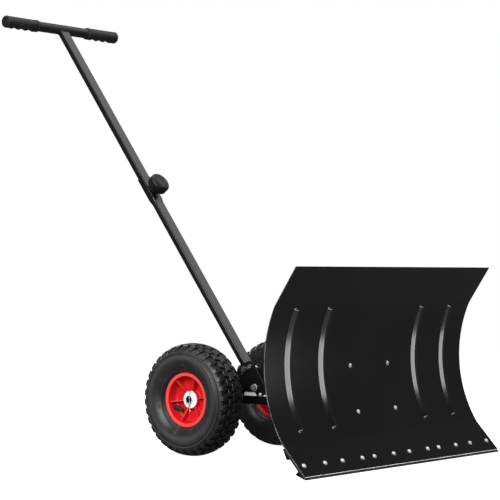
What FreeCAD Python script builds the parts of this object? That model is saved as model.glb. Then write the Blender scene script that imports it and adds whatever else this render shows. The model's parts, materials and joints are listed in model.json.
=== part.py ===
import FreeCAD, Part
import math
import os

V = FreeCAD.Vector
X_AXIS, Y_AXIS, Z_AXIS = V(1, 0, 0), V(0, 1, 0), V(0, 0, 1)

# Wheeled snow shovel. Millimetres, +Z up, the blade faces -Y, the handle leans back towards +Y.
# Y is first counted from a datum between the handle pivot and the axle, then everything is moved so
# that Y = 0 is the middle of the length.

FIT = 0.05                # clearance round shafts, bolts and pressed-in pieces
SHEET = 2.0               # blade sheet thickness

# Wheels
WHEEL_R = 130.0
WHEEL_X = 160.0           # centre plane of each wheel
AXLE_Y, AXLE_Z = 11.5, WHEEL_R
AXLE_R, AXLE_BORE_R = 10.0, 8.4
AXLE_HALF = WHEEL_X + 16.0
PIN_R = 1.3
SLEEVE_R = 13.5           # black tube that carries the axle between the wheels
SEAT_R, FLANGE_R = 57.5, 62.7
SEAT_HALF, RIM_HALF = 24.4, 27.0
HUB_FACE, HUB_R, BUSH_R = 9.5, 22.0, 13.0
BUSH_FLANGE_R, BUSH_FLANGE_T, WASHER_T = 20.0, 1.5, 1.0
RIB_COUNT, RIB_T, RIB_PHASE = 6, 3.5, 8.0
VALVE_ANGLE = 203.0       # valve direction, counted like the ribs, between two of them
VALVE_X = 12.0

# Handle
LEAN = 53.5               # handle angle above the horizontal
PIVOT_Y, PIVOT_Z = -55.0, 153.0
TUBE_W, TUBE_D, TUBE_WALL, TUBE_ROUND = 30.0, 14.5, 1.5, 2.8
TUBE_FOOT = -8.0          # lower end of the handle, measured up from the pivot
SOCKET_START, SOCKET_TAPER, SOCKET_END = 561.0, 13.0, 628.0
SOCKET_W, SOCKET_D = 33.2, 17.7
UPPER_START = SOCKET_START + 2.0
UPPER_PLAY = 0.1          # running gap between the upper tube and the socket
CLAMP_AT = 586.0
LENGTH_TRAVEL = 15.0
HANDLE_LENGTH = 1124.0    # pivot to the cross bar's axis
KNOB_R, KNOB_H, KNOB_FOOT_R, KNOB_FOOT_H = 26.5, 22.5, 14.0, 12.5

# Cross bar and grips
BAR_R, BAR_WALL, BAR_HALF = 13.0, 1.5, 193.0
GRIP_R, GRIP_COLLAR_R, GRIP_LENGTH, GRIP_END = 15.0, 17.0, 108.0, 4.0

# Handle bracket
PLATE_IN, PLATE_T = 16.0, 2.5
SLOT_R = 52.0             # lock bolt distance from the pivot
TILT_DOWN, TILT_UP = 12.0, 19.0
BOLT8, BOLT12 = 4.0, 6.0
BEAM_HALF, BEAM_TOP, BEAM_BOTTOM, BEAM_WALL = 16.0, 133.0, 113.0, 2.0
BAR_TOP = 141.0           # top of the zinc base bar that lies on the beam
BAR_REAR, BAR_FRONT = -22.0, -112.0
BAR_BOLTS = (-34.0, -98.0)
SCREW_Y, SCREW_Z = -72.0, 137.0

# Blade
BLADE_HALF = 370.0
ARC_R, ARC_Y, ARC_Z = 285.0, -657.3, 228.0
TOP_Y, TOP_Z = -456.4, 433.7
CREASE_TOP_Z, CREASE_LOW_Z = 352.0, 68.0
FOOT_Y, FOOT_Z = -479.2, 6.0
BEAD_XS = (-291.0, -175.0, 175.0, 291.0)
BEAD_R, BEAD_H = 11.5, 5.0
BEAD_LOW_Z, BEAD_TOP_Z = 96.0, 339.0
RUBBER_T, RAIL_T = 3.0, 1.5
EDGE_BOLTS = (30.0, 102.5, 146.5, 217.5, 278.0, 349.5)
EDGE_BOLT_UP = 27.6       # distance of the edge bolts from the blade's foot, along the slope
CENTRE_BOLT_X = 71.0
CENTRE_BOLT_ZS = (117.0, 217.0)

# Swivel
KING_Y = -300.0
FORK_T, SECTOR_T, GAP = 4.0, 4.0, 0.1
SWIVEL, SWIVEL_R = 30.0, 62.0
BRACKET_HALF, BRACKET_LOW, BRACKET_TOP, PAD_T = 86.0, 96.0, 240.0, 3.0
FORK_HALF = 62.0          # clears the nuts at the bracket's outer corners
DOME_LIFT = 0.08          # lets a flat-bottomed bolt head sit in the blade's curve

parts = {}


def add(name, *solids):
    parts[name] = solids[0] if len(solids) == 1 else Part.makeCompound(list(solids))


def rod(radius, start, end):
    return Part.makeCylinder(radius, (end - start).Length, start, end - start)


def ring(outer, inner, start, end):
    return rod(outer, start, end).cut(rod(inner, start, end))


def block(x0, x1, y0, y1, z0, z1):
    return Part.makeBox(x1 - x0, y1 - y0, z1 - z0, V(x0, y0, z0))


def fuse(first, *others):
    return first.multiFuse(list(others)).removeSplitter()


def place(shape, at, direction):
    shape = shape.copy()
    shape.Placement = FreeCAD.Placement(at, FreeCAD.Rotation(Z_AXIS, direction))
    return shape


def hexagon(across, height):
    corner = across / math.sqrt(3)
    points = [V(corner * math.cos(math.radians(a)), corner * math.sin(math.radians(a)), 0)
              for a in range(0, 361, 60)]
    return Part.Face(Part.makePolygon(points)).extrude(V(0, 0, height))


def nut(across, height, bore, at, direction):
    hole = Part.makeCylinder(bore + FIT, height)
    return place(hexagon(across, height).cut(hole), at, direction)


def hex_bolt(radius, across, head, length, at, direction):
    """A bolt whose head rests at the point and whose shank runs along the direction."""
    shape = fuse(Part.makeCylinder(radius, length), hexagon(across, head).translate(V(0, 0, -head)))
    return place(shape, at, direction)


def dome_bolt(radius, head_r, head, length, at, direction):
    ball_r = (head_r ** 2 + head ** 2) / (2 * head)
    cap = Part.makeSphere(ball_r, V(0, 0, ball_r - head))
    cap = cap.common(Part.makeCylinder(head_r, head, V(0, 0, -head)))
    return place(fuse(cap, Part.makeCylinder(radius, length)), at, direction)


def profile_prism(points, x0, x1):
    """Extrude a closed outline, given as (Y, Z) corners, along X."""
    corners = [V(x0, y, z) for y, z in points]
    return Part.Face(Part.makePolygon(corners + corners[:1])).extrude(V(x1 - x0, 0, 0))


def revolve_profile(edges):
    return Part.Face(Part.Wire(edges)).revolve(V(0, 0, 0), X_AXIS, 360)


def line(a, b):
    return Part.LineSegment(V(a[0], a[1], 0), V(b[0], b[1], 0)).toShape()


def arc(a, b, c):
    return Part.Arc(V(a[0], a[1], 0), V(b[0], b[1], 0), V(c[0], c[1], 0)).toShape()


# ---------------------------------------------------------------- wheels

def radial(angle, radius, x=0.0):
    """A point at a radius from the axle; the angle is seen from the left, from the front upwards."""
    a = math.radians(angle)
    return V(x, -radius * math.cos(a), radius * math.sin(a))


def tyre():
    outer = [(18.0, 57.6), (24.3, 57.6), (24.3, 62.9), (28.5, 65.0)]
    edges = [line(outer[0], outer[1]), line(outer[1], outer[2]), line(outer[2], outer[3])]
    edges += [arc(outer[3], (43.0, 90.0), (33.0, 123.5)), arc((33.0, 123.5), (0, WHEEL_R), (-33.0, 123.5))]
    edges += [arc((-33.0, 123.5), (-43.0, 90.0), (-28.5, 65.0))]
    edges += [line((-x, r), (-x2, r2)) for (x, r), (x2, r2) in zip(outer[::-1], outer[-2::-1])]
    edges += [line((-18.0, 57.6), (-18.0, 63.0)), arc((-18.0, 63.0), (-37.5, 90.0), (-27.0, 118.0))]
    edges += [arc((-27.0, 118.0), (0, 123.5), (27.0, 118.0)), arc((27.0, 118.0), (37.5, 90.0), (18.0, 63.0))]
    edges += [line((18.0, 63.0), (18.0, 57.6))]
    solid = revolve_profile(edges)
    grooves = [revolve_profile([line((x - 2, 126), (x + 2, 126)), line((x + 2, 126), (x + 2, 133)),
                                line((x + 2, 133), (x - 2, 133)), line((x - 2, 133), (x - 2, 126))])
               for x in (-20, 20)]
    return solid.cut(Part.makeCompound(grooves))


def inner_tube():
    def oval(half_w, half_h):
        curve = Part.Ellipse(V(0, 91.5, 0), half_w, half_h).toShape()
        return revolve_profile([curve])
    neck = rod(2.5, radial(VALVE_ANGLE, 50, VALVE_X), radial(VALVE_ANGLE, 70, VALVE_X))
    return oval(33.5, 30.5).cut(oval(31.5, 28.5)).cut(neck)


def rim():
    half = [(HUB_FACE, BUSH_R + FIT), (HUB_FACE, HUB_R), (2, HUB_R + 2), (2, 51), (RIM_HALF, 54.7),
            (RIM_HALF, FLANGE_R), (SEAT_HALF, FLANGE_R), (SEAT_HALF, SEAT_R)]
    back = [(-x, r) for x, r in half[:1:-1]] + [(-RIM_HALF, HUB_R), (-RIM_HALF, BUSH_R + FIT)]
    outline = half + back + half[:1]
    body = revolve_profile([line(a, b) for a, b in zip(outline, outline[1:])])
    ribs = []
    for i in range(RIB_COUNT):
        turn = RIB_PHASE + i * 360 / RIB_COUNT
        corners = [(HUB_R - 1, -24.0), (HUB_R - 1, HUB_FACE), (53.0, 22.0), (53.0, -24.0)]
        points = [V(x, -r, -RIB_T / 2) for r, x in corners]
        rib = Part.Face(Part.makePolygon(points + points[:1])).extrude(V(0, 0, RIB_T))
        ribs.append(rib.rotate(V(0, 0, 0), X_AXIS, -turn))
    hole = rod(4.45, radial(VALVE_ANGLE, 45, VALVE_X), radial(VALVE_ANGLE, 70, VALVE_X))
    return fuse(body, *ribs).cut(hole)


def bush(face, flange_side):
    """Flanged bush pressed into the hub; the flange lies outside the hub face."""
    out = X_AXIS * flange_side
    at = X_AXIS * face
    sleeve = ring(BUSH_R, AXLE_R + FIT, at - out * 16, at)
    return fuse(sleeve, ring(BUSH_FLANGE_R, AXLE_R + FIT, at, at + out * BUSH_FLANGE_T))


def valve():
    """Rubber valve whose stem bends sideways in the rim's hollow."""
    root, bend = radial(VALVE_ANGLE, 60, VALVE_X), radial(VALVE_ANGLE, 46.5, VALVE_X)
    tip = radial(VALVE_ANGLE + 28, 33, VALVE_X)
    cap_at = tip + (bend - tip).normalize() * 9
    return fuse(rod(4.4, root, bend), Part.makeSphere(5.2, bend), rod(5.2, bend, cap_at), rod(4.6, cap_at, tip))


def wheel(side, x_sign):
    shapes = {"tyre": tyre(), "inner_tube": inner_tube(), "rim": rim(), "valve": valve(),
              "bushes": Part.makeCompound([bush(HUB_FACE, 1), bush(-RIM_HALF, -1)])}
    for name, shape in shapes.items():
        shape = shape.copy() if x_sign > 0 else shape.mirror(V(0, 0, 0), X_AXIS)
        add(name + "_" + side, shape.translate(V(x_sign * WHEEL_X, AXLE_Y, AXLE_Z)))


# ---------------------------------------------------------------- frame

def axle_pieces():
    def at(x, z=0.0):
        return V(x, AXLE_Y, AXLE_Z + z)
    washer_x = WHEEL_X + HUB_FACE + BUSH_FLANGE_T + FIT
    pin_x = washer_x + WASHER_T + PIN_R + 2 * FIT
    tube = ring(AXLE_R, AXLE_BORE_R, at(-AXLE_HALF), at(AXLE_HALF))
    pins = []
    for x in (-pin_x, pin_x):
        tube = tube.cut(rod(PIN_R + FIT, at(x, -20), at(x, 20)))
        eye = Part.makeTorus(2.8, 1.2, at(x, 17.2), X_AXIS)
        pins.append(fuse(rod(PIN_R, at(x, -29), at(x, 14.8)), eye))
    add("axle_tube", tube)
    add("split_pins", *pins)
    add("axle_washers", *[ring(15.0, AXLE_R + FIT, at(s * washer_x), at(s * (washer_x + WASHER_T)))
                          for s in (-1, 1)])
    sleeve_end = WHEEL_X - RIM_HALF - BUSH_FLANGE_T - 0.2
    add("axle_sleeve", ring(SLEEVE_R, AXLE_R + FIT, at(-sleeve_end), at(sleeve_end)))


def polar(angle, radius, cy=PIVOT_Y, cz=PIVOT_Z, x=0.0):
    a = math.radians(angle)
    return V(x, cy + radius * math.cos(a), cz + radius * math.sin(a))


def tilt_slot():
    """Curved slot for the lock bolt, wider at the three index angles."""
    angles = (LEAN - TILT_DOWN, LEAN, LEAN + TILT_UP)
    band = ring(SLOT_R + BOLT8 + GAP, SLOT_R - BOLT8 - GAP, polar(0, 0, x=-40), polar(0, 0, x=40))
    far = 90.0
    wedge = [polar(0, 0), polar(angles[0], far), polar(angles[1], far), polar(angles[2], far)]
    cutter = profile_prism([(p.y, p.z) for p in wedge], -40, 40)
    seats = [rod(4.6, polar(a, SLOT_R, x=-40), polar(a, SLOT_R, x=40)) for a in angles]
    return fuse(band.common(cutter), *seats)


def side_plate(x_sign):
    outer_r, corner = SLOT_R + 12.0, 11.0
    lobe_r = 22.0
    fan = [polar(a, outer_r) for a in (LEAN + TILT_UP + 3, LEAN + 3, LEAN - TILT_DOWN - 2)]
    lobes = [polar(a, SLOT_R) for a in (LEAN + TILT_UP, LEAN - TILT_DOWN)]
    x0 = PLATE_IN if x_sign > 0 else -PLATE_IN - PLATE_T
    x1 = x0 + PLATE_T

    def flat(points):
        return profile_prism([(p.y, p.z) for p in points], x0, x1)

    def disc(point, radius):
        return rod(radius, V(x0, point.y, point.z), V(x1, point.y, point.z))
    corners = [V(0, -100, 137), V(0, -75, 174), V(0, -53.5, 205.5), lobes[0], fan[1], lobes[1],
               V(0, AXLE_Y + 20, 142), V(0, -57, 142), V(0, -61, 133.6), V(0, -79, 133.6), V(0, -83, 137)]
    web = flat(corners)
    rim_arc = disc(V(0, PIVOT_Y, PIVOT_Z), outer_r).common(
        flat([V(0, PIVOT_Y, PIVOT_Z), polar(LEAN + TILT_UP, 90), polar(LEAN, 90),
              polar(LEAN - TILT_DOWN, 90)]))
    tail = flat([V(0, y + AXLE_Y, z) for y, z in ((-16, 142), (-20, 190), (-12, 190), (-7, 186.5),
                                                  (20.5, 139), (0, 130))])
    axle = V(0, AXLE_Y, AXLE_Z)
    plate = fuse(web, rim_arc, tail, disc(axle, lobe_r), *[disc(p, corner + 1) for p in lobes])
    holes = [disc(axle, SLEEVE_R + FIT), disc(V(0, PIVOT_Y, PIVOT_Z), BOLT8 + FIT),
             disc(V(0, SCREW_Y, SCREW_Z), 2.5 + FIT), tilt_slot()]
    return plate.cut(Part.makeCompound(holes))


def base_bar():
    top, tip = BAR_TOP, BAR_FRONT
    bar = profile_prism([(BAR_REAR, BEAM_TOP), (tip + 4, BEAM_TOP), (tip, top - 4), (tip, top),
                         (BAR_REAR, top)], -BEAM_HALF, BEAM_HALF)
    holes = [rod(BOLT8 + FIT, V(0, y, BEAM_TOP - 1), V(0, y, top + 1)) for y in BAR_BOLTS]
    holes += [rod(2.5 + FIT, V(s * (BEAM_HALF - 12), SCREW_Y, SCREW_Z), V(s * 20, SCREW_Y, SCREW_Z))
              for s in (-1, 1)]
    return bar.cut(Part.makeCompound(holes))


def beam():
    front = KING_Y - 18.0
    outer = block(-BEAM_HALF, BEAM_HALF, front, AXLE_Y, BEAM_BOTTOM, BEAM_TOP)
    w = BEAM_WALL
    inner = block(-BEAM_HALF + w, BEAM_HALF - w, front, AXLE_Y, BEAM_BOTTOM + w, BEAM_TOP - w)
    cope = rod(SLEEVE_R + FIT, V(-30, AXLE_Y, AXLE_Z), V(30, AXLE_Y, AXLE_Z))
    under = block(-30, 30, AXLE_Y - 9, AXLE_Y + 5, 100, AXLE_Z)
    holes = [rod(8 + FIT, V(0, KING_Y, 100), V(0, KING_Y, 150))]
    holes += [rod(BOLT8 + FIT, V(0, y, 100), V(0, y, 150)) for y in BAR_BOLTS + (KING_Y + SWIVEL_R,)]
    return outer.cut(inner).cut(Part.makeCompound([cope, under] + holes))


def beam_plug():
    front = KING_Y - 18.0
    inside = BEAM_HALF - BEAM_WALL - FIT
    low, top = BEAM_BOTTOM + BEAM_WALL + FIT, BEAM_TOP - BEAM_WALL - FIT
    cap = block(-BEAM_HALF, BEAM_HALF, front - 2, front, BEAM_BOTTOM, BEAM_TOP)
    return fuse(cap, block(-inside, inside, front, front + 8, low, top))


def frame_pieces():
    axle_pieces()
    add("side_plate_left", side_plate(-1))
    add("side_plate_right", side_plate(1))
    add("base_bar", base_bar())
    add("frame_beam", beam())
    add("beam_end_plug", beam_plug())
    add("base_bar_bolts", *[dome_bolt(BOLT8, 8, 2.6, 36, V(0, y, BEAM_BOTTOM), Z_AXIS) for y in BAR_BOLTS])
    add("base_bar_nuts", *[nut(13, 6.5, BOLT8, V(0, y, BAR_TOP), Z_AXIS) for y in BAR_BOLTS])
    face = PLATE_IN + PLATE_T
    add("side_plate_screws", *[dome_bolt(2.5, 4.2, 2.4, 13, V(s * face, SCREW_Y, SCREW_Z), X_AXIS * -s)
                               for s in (-1, 1)])
    add("king_pin_bush", ring(8.0, BOLT12 + FIT, V(0, KING_Y, BEAM_BOTTOM), V(0, KING_Y, BEAM_TOP)))
    pivot_near, pivot_far = V(-face, PIVOT_Y, PIVOT_Z), V(face, PIVOT_Y, PIVOT_Z)
    washer = ring(8.0, BOLT8 + FIT, pivot_near - X_AXIS * 1.6, pivot_near)
    far_washer = ring(8.0, BOLT8 + FIT, pivot_far, pivot_far + X_AXIS * 1.6)
    add("handle_pivot_bolt", hex_bolt(BOLT8, 13, 5.3, 52, pivot_near - X_AXIS * 1.6, X_AXIS))
    add("handle_pivot_nut", nut(13, 6.5, BOLT8, pivot_far + X_AXIS * 1.6, X_AXIS))
    add("handle_pivot_washers", washer, far_washer)
    gap_in, gap_out = TUBE_W / 2 + FIT, PLATE_IN - FIT
    add("pivot_spacers", *[ring(9.5, BOLT8 + FIT, V(s * gap_in, PIVOT_Y, PIVOT_Z),
                                V(s * gap_out, PIVOT_Y, PIVOT_Z)) for s in (-1, 1)])
    lock_y, sector_top = KING_Y + SWIVEL_R, BEAM_TOP + GAP + SECTOR_T
    add("swivel_lock_bolt", dome_bolt(BOLT8, 10, 4.4, 40, V(0, lock_y, BEAM_BOTTOM), Z_AXIS))
    add("swivel_lock_washer", ring(12, BOLT8 + FIT, V(0, lock_y, sector_top + FIT),
                                   V(0, lock_y, sector_top + FIT + 2)))
    add("swivel_lock_nut", nut(13, 6.5, BOLT8, V(0, lock_y, sector_top + FIT + 2), Z_AXIS))


# ---------------------------------------------------------------- handle
# Drawn along +Z from the pivot, front face towards -Y, then leaned back.

HANDLE_PLACE = FreeCAD.Placement(V(0, PIVOT_Y, PIVOT_Z), FreeCAD.Rotation(X_AXIS, LEAN - 90))


def lean(shape):
    shape = shape.copy()
    shape.Placement = HANDLE_PLACE.multiply(shape.Placement)
    return shape


def rect_wire(width, depth, radius, z):
    w, d, r = width / 2, depth / 2, radius
    k = r * (1 - math.sqrt(0.5))
    edges = []
    for sx, sy in ((1, 1), (-1, 1), (-1, -1), (1, -1)):
        start, end = V(sx * w, sy * (d - r), z), V(sx * (w - r), sy * d, z)
        if sx * sy < 0:
            start, end = end, start
        edges.append(Part.Arc(start, V(sx * (w - k), sy * (d - k), z), end))
    wire = []
    for here, after in zip(edges, edges[1:] + edges[:1]):
        wire += [here.toShape(), Part.LineSegment(here.EndPoint, after.StartPoint).toShape()]
    return Part.Wire(wire)


def bar(width, depth, radius, z0, z1):
    return Part.Face(rect_wire(width, depth, radius, z0)).extrude(V(0, 0, z1 - z0))


def tapered(w0, d0, w1, d1, radius, z0, z1):
    return Part.makeLoft([rect_wire(w0, d0, radius, z0), rect_wire(w1, d1, radius, z1)], True)


def lower_tube():
    w, d, t, r = TUBE_W, TUBE_D, TUBE_WALL, TUBE_ROUND
    taper = SOCKET_START - SOCKET_TAPER
    outside = fuse(bar(w, d, r, TUBE_FOOT, taper), tapered(w, d, SOCKET_W, SOCKET_D, r, taper, SOCKET_START),
                   bar(SOCKET_W, SOCKET_D, r, SOCKET_START, SOCKET_END))
    play = 2 * UPPER_PLAY
    wide, deep, inner_r = w + play, d + play, r + UPPER_PLAY
    inside = [bar(w - 2 * t, d - 2 * t, r - t, TUBE_FOOT - 1, SOCKET_START),
              bar(wide, deep, inner_r, SOCKET_START, SOCKET_END + 1)]
    holes = [rod(BOLT8 + FIT, V(-30, 0, 0), V(30, 0, 0)),
             rod(BOLT8 + FIT, V(-30, 0, SLOT_R), V(30, 0, SLOT_R)),
             rod(BOLT8 + FIT, V(0, -30, CLAMP_AT), V(0, 30, CLAMP_AT))]
    return outside.cut(Part.makeCompound(inside + holes))


def upper_tube():
    t = TUBE_WALL
    shape = bar(TUBE_W, TUBE_D, TUBE_ROUND, UPPER_START, HANDLE_LENGTH)
    hollow = bar(TUBE_W - 2 * t, TUBE_D - 2 * t, TUBE_ROUND - t, UPPER_START - 1, HANDLE_LENGTH + 1)
    cope = rod(BAR_R + FIT, V(-40, 0, HANDLE_LENGTH), V(40, 0, HANDLE_LENGTH))
    slot_r = BOLT8 + GAP
    slot = block(-slot_r, slot_r, -20, 20, CLAMP_AT - LENGTH_TRAVEL, CLAMP_AT)
    ends = [rod(slot_r, V(0, -20, z), V(0, 20, z)) for z in (CLAMP_AT - LENGTH_TRAVEL, CLAMP_AT)]
    return shape.cut(Part.makeCompound([hollow, cope])).cut(fuse(slot, *ends))


def cross_bar():
    end = V(BAR_HALF, 0, HANDLE_LENGTH)
    start = V(-BAR_HALF, 0, HANDLE_LENGTH)
    return ring(BAR_R, BAR_R - BAR_WALL, start, end)


def grip(x_sign):
    """Rubber grip with an inner collar, shallow finger waves and a closed round end."""
    open_x = BAR_HALF + GRIP_END - GRIP_LENGTH
    close_x = BAR_HALF + GRIP_END
    body = rod(GRIP_R, V(open_x, 0, 0), V(close_x - 3, 0, 0))
    collar = rod(GRIP_COLLAR_R, V(open_x, 0, 0), V(open_x + 4, 0, 0))
    end = Part.makeCylinder(GRIP_COLLAR_R - 1, 6, V(close_x - 6, 0, 0), X_AXIS)
    end = end.makeFillet(2.4, [e for e in end.Edges if e.Length > 50])
    bore = rod(BAR_R + FIT, V(open_x - 1, 0, 0), V(BAR_HALF + FIT, 0, 0))
    shape = fuse(body, collar, end).cut(bore)
    if x_sign < 0:
        shape = shape.mirror(V(0, 0, 0), X_AXIS)
    return shape.translate(V(0, 0, HANDLE_LENGTH))


def clamp_knob():
    face = -(SOCKET_D / 2 + GAP)
    top = face - KNOB_FOOT_H - KNOB_H
    foot = rod(KNOB_FOOT_R, V(0, face, CLAMP_AT), V(0, face - KNOB_FOOT_H, CLAMP_AT))
    head = rod(KNOB_R, V(0, face - KNOB_FOOT_H, CLAMP_AT), V(0, top, CLAMP_AT))
    head = head.makeFillet(4.0, [e for e in head.Edges if e.Length > 100 and abs(e.CenterOfMass.y - top) < 1])
    bore = rod(6.0 + FIT, V(0, face, CLAMP_AT), V(0, face - 16, CLAMP_AT))
    return fuse(foot, head).cut(bore)


def knob_insert():
    face = -(SOCKET_D / 2 + GAP)
    return ring(6.0, BOLT8 + FIT, V(0, face, CLAMP_AT), V(0, face - 15, CLAMP_AT))


def handle_pieces():
    add("lower_tube", lean(lower_tube()))
    add("upper_tube", lean(upper_tube()))
    add("cross_bar", lean(cross_bar()))
    add("grip_left", lean(grip(-1)))
    add("grip_right", lean(grip(1)))
    head_x = PLATE_IN + PLATE_T + GAP
    lock_at, lock_far = V(-head_x, 0, SLOT_R), V(head_x, 0, SLOT_R)
    add("tilt_lock_bolt", lean(hex_bolt(BOLT8, 13, 5.3, 46, lock_at, X_AXIS)))
    add("tilt_lock_nut", lean(nut(13, 6.5, BOLT8, lock_far, X_AXIS)))
    back = V(0, SOCKET_D / 2, CLAMP_AT)
    add("clamp_bolt", lean(dome_bolt(BOLT8, 9, 4, SOCKET_D + 12, back, -Y_AXIS)))
    add("clamp_knob", lean(clamp_knob()))
    add("knob_insert", lean(knob_insert()))


# ---------------------------------------------------------------- blade

SLOPE = V(0, ARC_Y + math.sqrt(ARC_R ** 2 - (CREASE_LOW_Z - ARC_Z) ** 2) - FOOT_Y, CREASE_LOW_Z - FOOT_Z)
SLOPE.normalize()
BEHIND = V(0, SLOPE.z, -SLOPE.y)


def arc_point(z, radius=ARC_R):
    return V(0, ARC_Y + math.sqrt(radius ** 2 - (z - ARC_Z) ** 2), z)


def on_slope(up, behind):
    return V(0, FOOT_Y, FOOT_Z) + SLOPE * up + BEHIND * behind


def meet_arc(start, towards, radius):
    """Where a straight flange, followed from its free edge, reaches the arc of the given radius."""
    from_centre = start - V(0, ARC_Y, ARC_Z)
    along = from_centre.dot(towards)
    return start + towards * (math.sqrt(along ** 2 - from_centre.Length ** 2 + radius ** 2) - along)


def shell_face(depth):
    """Blade outline in the YZ plane: its front line and the same line offset backwards by the depth."""
    low, top = arc_point(CREASE_LOW_Z), arc_point(CREASE_TOP_Z)
    foot, lip = V(0, FOOT_Y, FOOT_Z), V(0, TOP_Y, TOP_Z)
    down = (top - lip).normalize()
    lip_back = lip + V(0, -down.z, down.y) * depth
    out = ARC_R + depth
    front = [foot, low, arc_point(ARC_Z), top, lip]
    rear = [lip_back, meet_arc(lip_back, down, out), arc_point(ARC_Z, out),
            meet_arc(on_slope(0, depth), SLOPE, out), on_slope(0, depth)]

    def seg(a, b):
        return Part.LineSegment(a, b).toShape()
    edges = [seg(front[0], front[1]), Part.Arc(*front[1:4]).toShape(), seg(front[3], front[4]),
             seg(front[4], rear[0]), seg(rear[0], rear[1]), Part.Arc(*rear[1:4]).toShape(),
             seg(rear[3], rear[4]), seg(rear[4], front[0])]
    return Part.Face(Part.Wire(edges))


def bead(x, radius):
    """A round bar bent round the blade's arc, with ball ends."""
    centre_r = ARC_R - BEAD_H + BEAD_R
    ends = [V(x, 0, 0) + arc_point(z, centre_r) for z in (BEAD_LOW_Z, BEAD_TOP_Z)]
    middle = V(x, 0, 0) + arc_point(ARC_Z, centre_r)
    path = Part.Wire([Part.Arc(ends[0], middle, ends[1]).toShape()])
    tangent = path.Edges[0].tangentAt(path.Edges[0].FirstParameter)
    section = Part.Wire([Part.makeCircle(radius, ends[0], tangent)])
    return fuse(path.makePipeShell([section], True, False), *[Part.makeSphere(radius, p) for p in ends])


def blade_sheet():
    face = shell_face(SHEET)
    sheet = face.translate(V(-BLADE_HALF, 0, 0)).extrude(V(2 * BLADE_HALF, 0, 0))
    inside = rod(ARC_R + SHEET, V(-BLADE_HALF, ARC_Y, ARC_Z), V(BLADE_HALF, ARC_Y, ARC_Z))
    ridges = [bead(x, BEAD_R).common(inside) for x in BEAD_XS]
    hollows = [bead(x, BEAD_R - SHEET) for x in BEAD_XS]
    sheet = fuse(sheet, *ridges).cut(Part.makeCompound(hollows))
    holes = [rod(3 + FIT, p - BEHIND * 10, p + BEHIND * 10) for p in edge_bolt_points()]
    holes += [rod(2.5 + FIT, p - n * 10, p + n * 10) for p, n in centre_bolt_points()]
    return sheet.cut(Part.makeCompound(holes))


def edge_bolt_points():
    return [on_slope(EDGE_BOLT_UP, 0) + V(s * x, 0, 0) for s in (-1, 1) for x in EDGE_BOLTS]


def centre_bolt_points():
    """Each bolt's point on the front of the blade, and the direction pointing behind it."""
    points = []
    for z in CENTRE_BOLT_ZS:
        p = arc_point(z)
        behind = (p - V(0, ARC_Y, ARC_Z)).normalize()
        points += [(p + V(s * CENTRE_BOLT_X, 0, 0), behind) for s in (-1, 1)]
    return points


def scraper_rubber():
    corners = [on_slope(-12, SHEET), on_slope(70, SHEET), on_slope(70, SHEET + RUBBER_T),
               on_slope(-12, SHEET + RUBBER_T)]
    strip = profile_prism([(p.y, p.z) for p in corners], -BLADE_HALF, BLADE_HALF)
    strip = strip.cut(block(-500, 500, -600, -400, -50, 0))
    holes = [rod(3 + FIT, p, p + BEHIND * 12) for p in edge_bolt_points()]
    return strip.cut(Part.makeCompound(holes))


def scraper_rail():
    """Steel strip behind the rubber, both long edges folded back into a triangular hem."""
    mid = SHEET + RUBBER_T + RAIL_T / 2
    near = SHEET + RUBBER_T + RAIL_T + 1.5
    line_points = [on_slope(19.6, near), on_slope(19.2, 15.4), on_slope(0.2, mid), on_slope(78.2, mid),
                   on_slope(56.6, 12.8), on_slope(53.0, near)]
    wire = Part.makePolygon(line_points)
    face = Part.Face(wire.makeOffset2D(RAIL_T / 2, 0, False, False))
    rail = face.translate(V(-BLADE_HALF, 0, 0)).extrude(V(2 * BLADE_HALF, 0, 0))
    holes = [rod(3 + FIT, p, p + BEHIND * 12) for p in edge_bolt_points()]
    return rail.cut(Part.makeCompound(holes))


def fork_plate(z0, z1):
    wide, nose = FORK_HALF, 26.0
    points = [V(-wide, -400, z0), V(wide, -400, z0), V(wide, -378, z0), V(nose, KING_Y, z0),
              V(-nose, KING_Y, z0), V(-wide, -378, z0)]
    plate = Part.Face(Part.makePolygon(points + points[:1])).extrude(V(0, 0, z1 - z0))
    return fuse(plate, rod(nose, V(0, KING_Y, z0), V(0, KING_Y, z1)))


def blade_bracket():
    low0, low1 = BEAM_BOTTOM - GAP - FORK_T, BEAM_BOTTOM - GAP
    up0 = BEAM_TOP + GAP + SECTOR_T
    pad_in, pad_out = ARC_R + SHEET, ARC_R + SHEET + PAD_T
    start, end = V(-BRACKET_HALF, ARC_Y, ARC_Z), V(BRACKET_HALF, ARC_Y, ARC_Z)
    window = block(-BRACKET_HALF, BRACKET_HALF, -500, 0, BRACKET_LOW, BRACKET_TOP)
    pad = ring(pad_out, pad_in, start, end).common(window)
    pad = pad.cut(block(-42, 42, -500, 0, up0 + 24, BRACKET_TOP + 1))
    shapes = [fork_plate(low0, low1), fork_plate(up0, up0 + FORK_T)]
    for s in (-1, 1):
        x0, x1 = sorted((s * 50, s * 54))
        shapes.append(profile_prism([(-400, low1), (-340, low1), (-340, up0), (-400, up0)], x0, x1))
        shapes.append(profile_prism([(-400, up0 + FORK_T), (-330, up0 + FORK_T), (-364, 222), (-400, 222)],
                                    x0, x1))
    inside = rod(pad_in + 1, start, end)
    welded = fuse(pad, *[shape.cut(inside) for shape in shapes])
    holes = [rod(BOLT12 + FIT, V(0, KING_Y, 90), V(0, KING_Y, 160))]
    holes += [rod(BOLT8 + FIT, V(x, -340, up0 - 1), V(x, -340, up0 + 20)) for x in (-16, 16)]
    holes += [rod(2.5 + FIT, p, p + n * 10) for p, n in centre_bolt_points()]
    return welded.cut(Part.makeCompound(holes))


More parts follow.
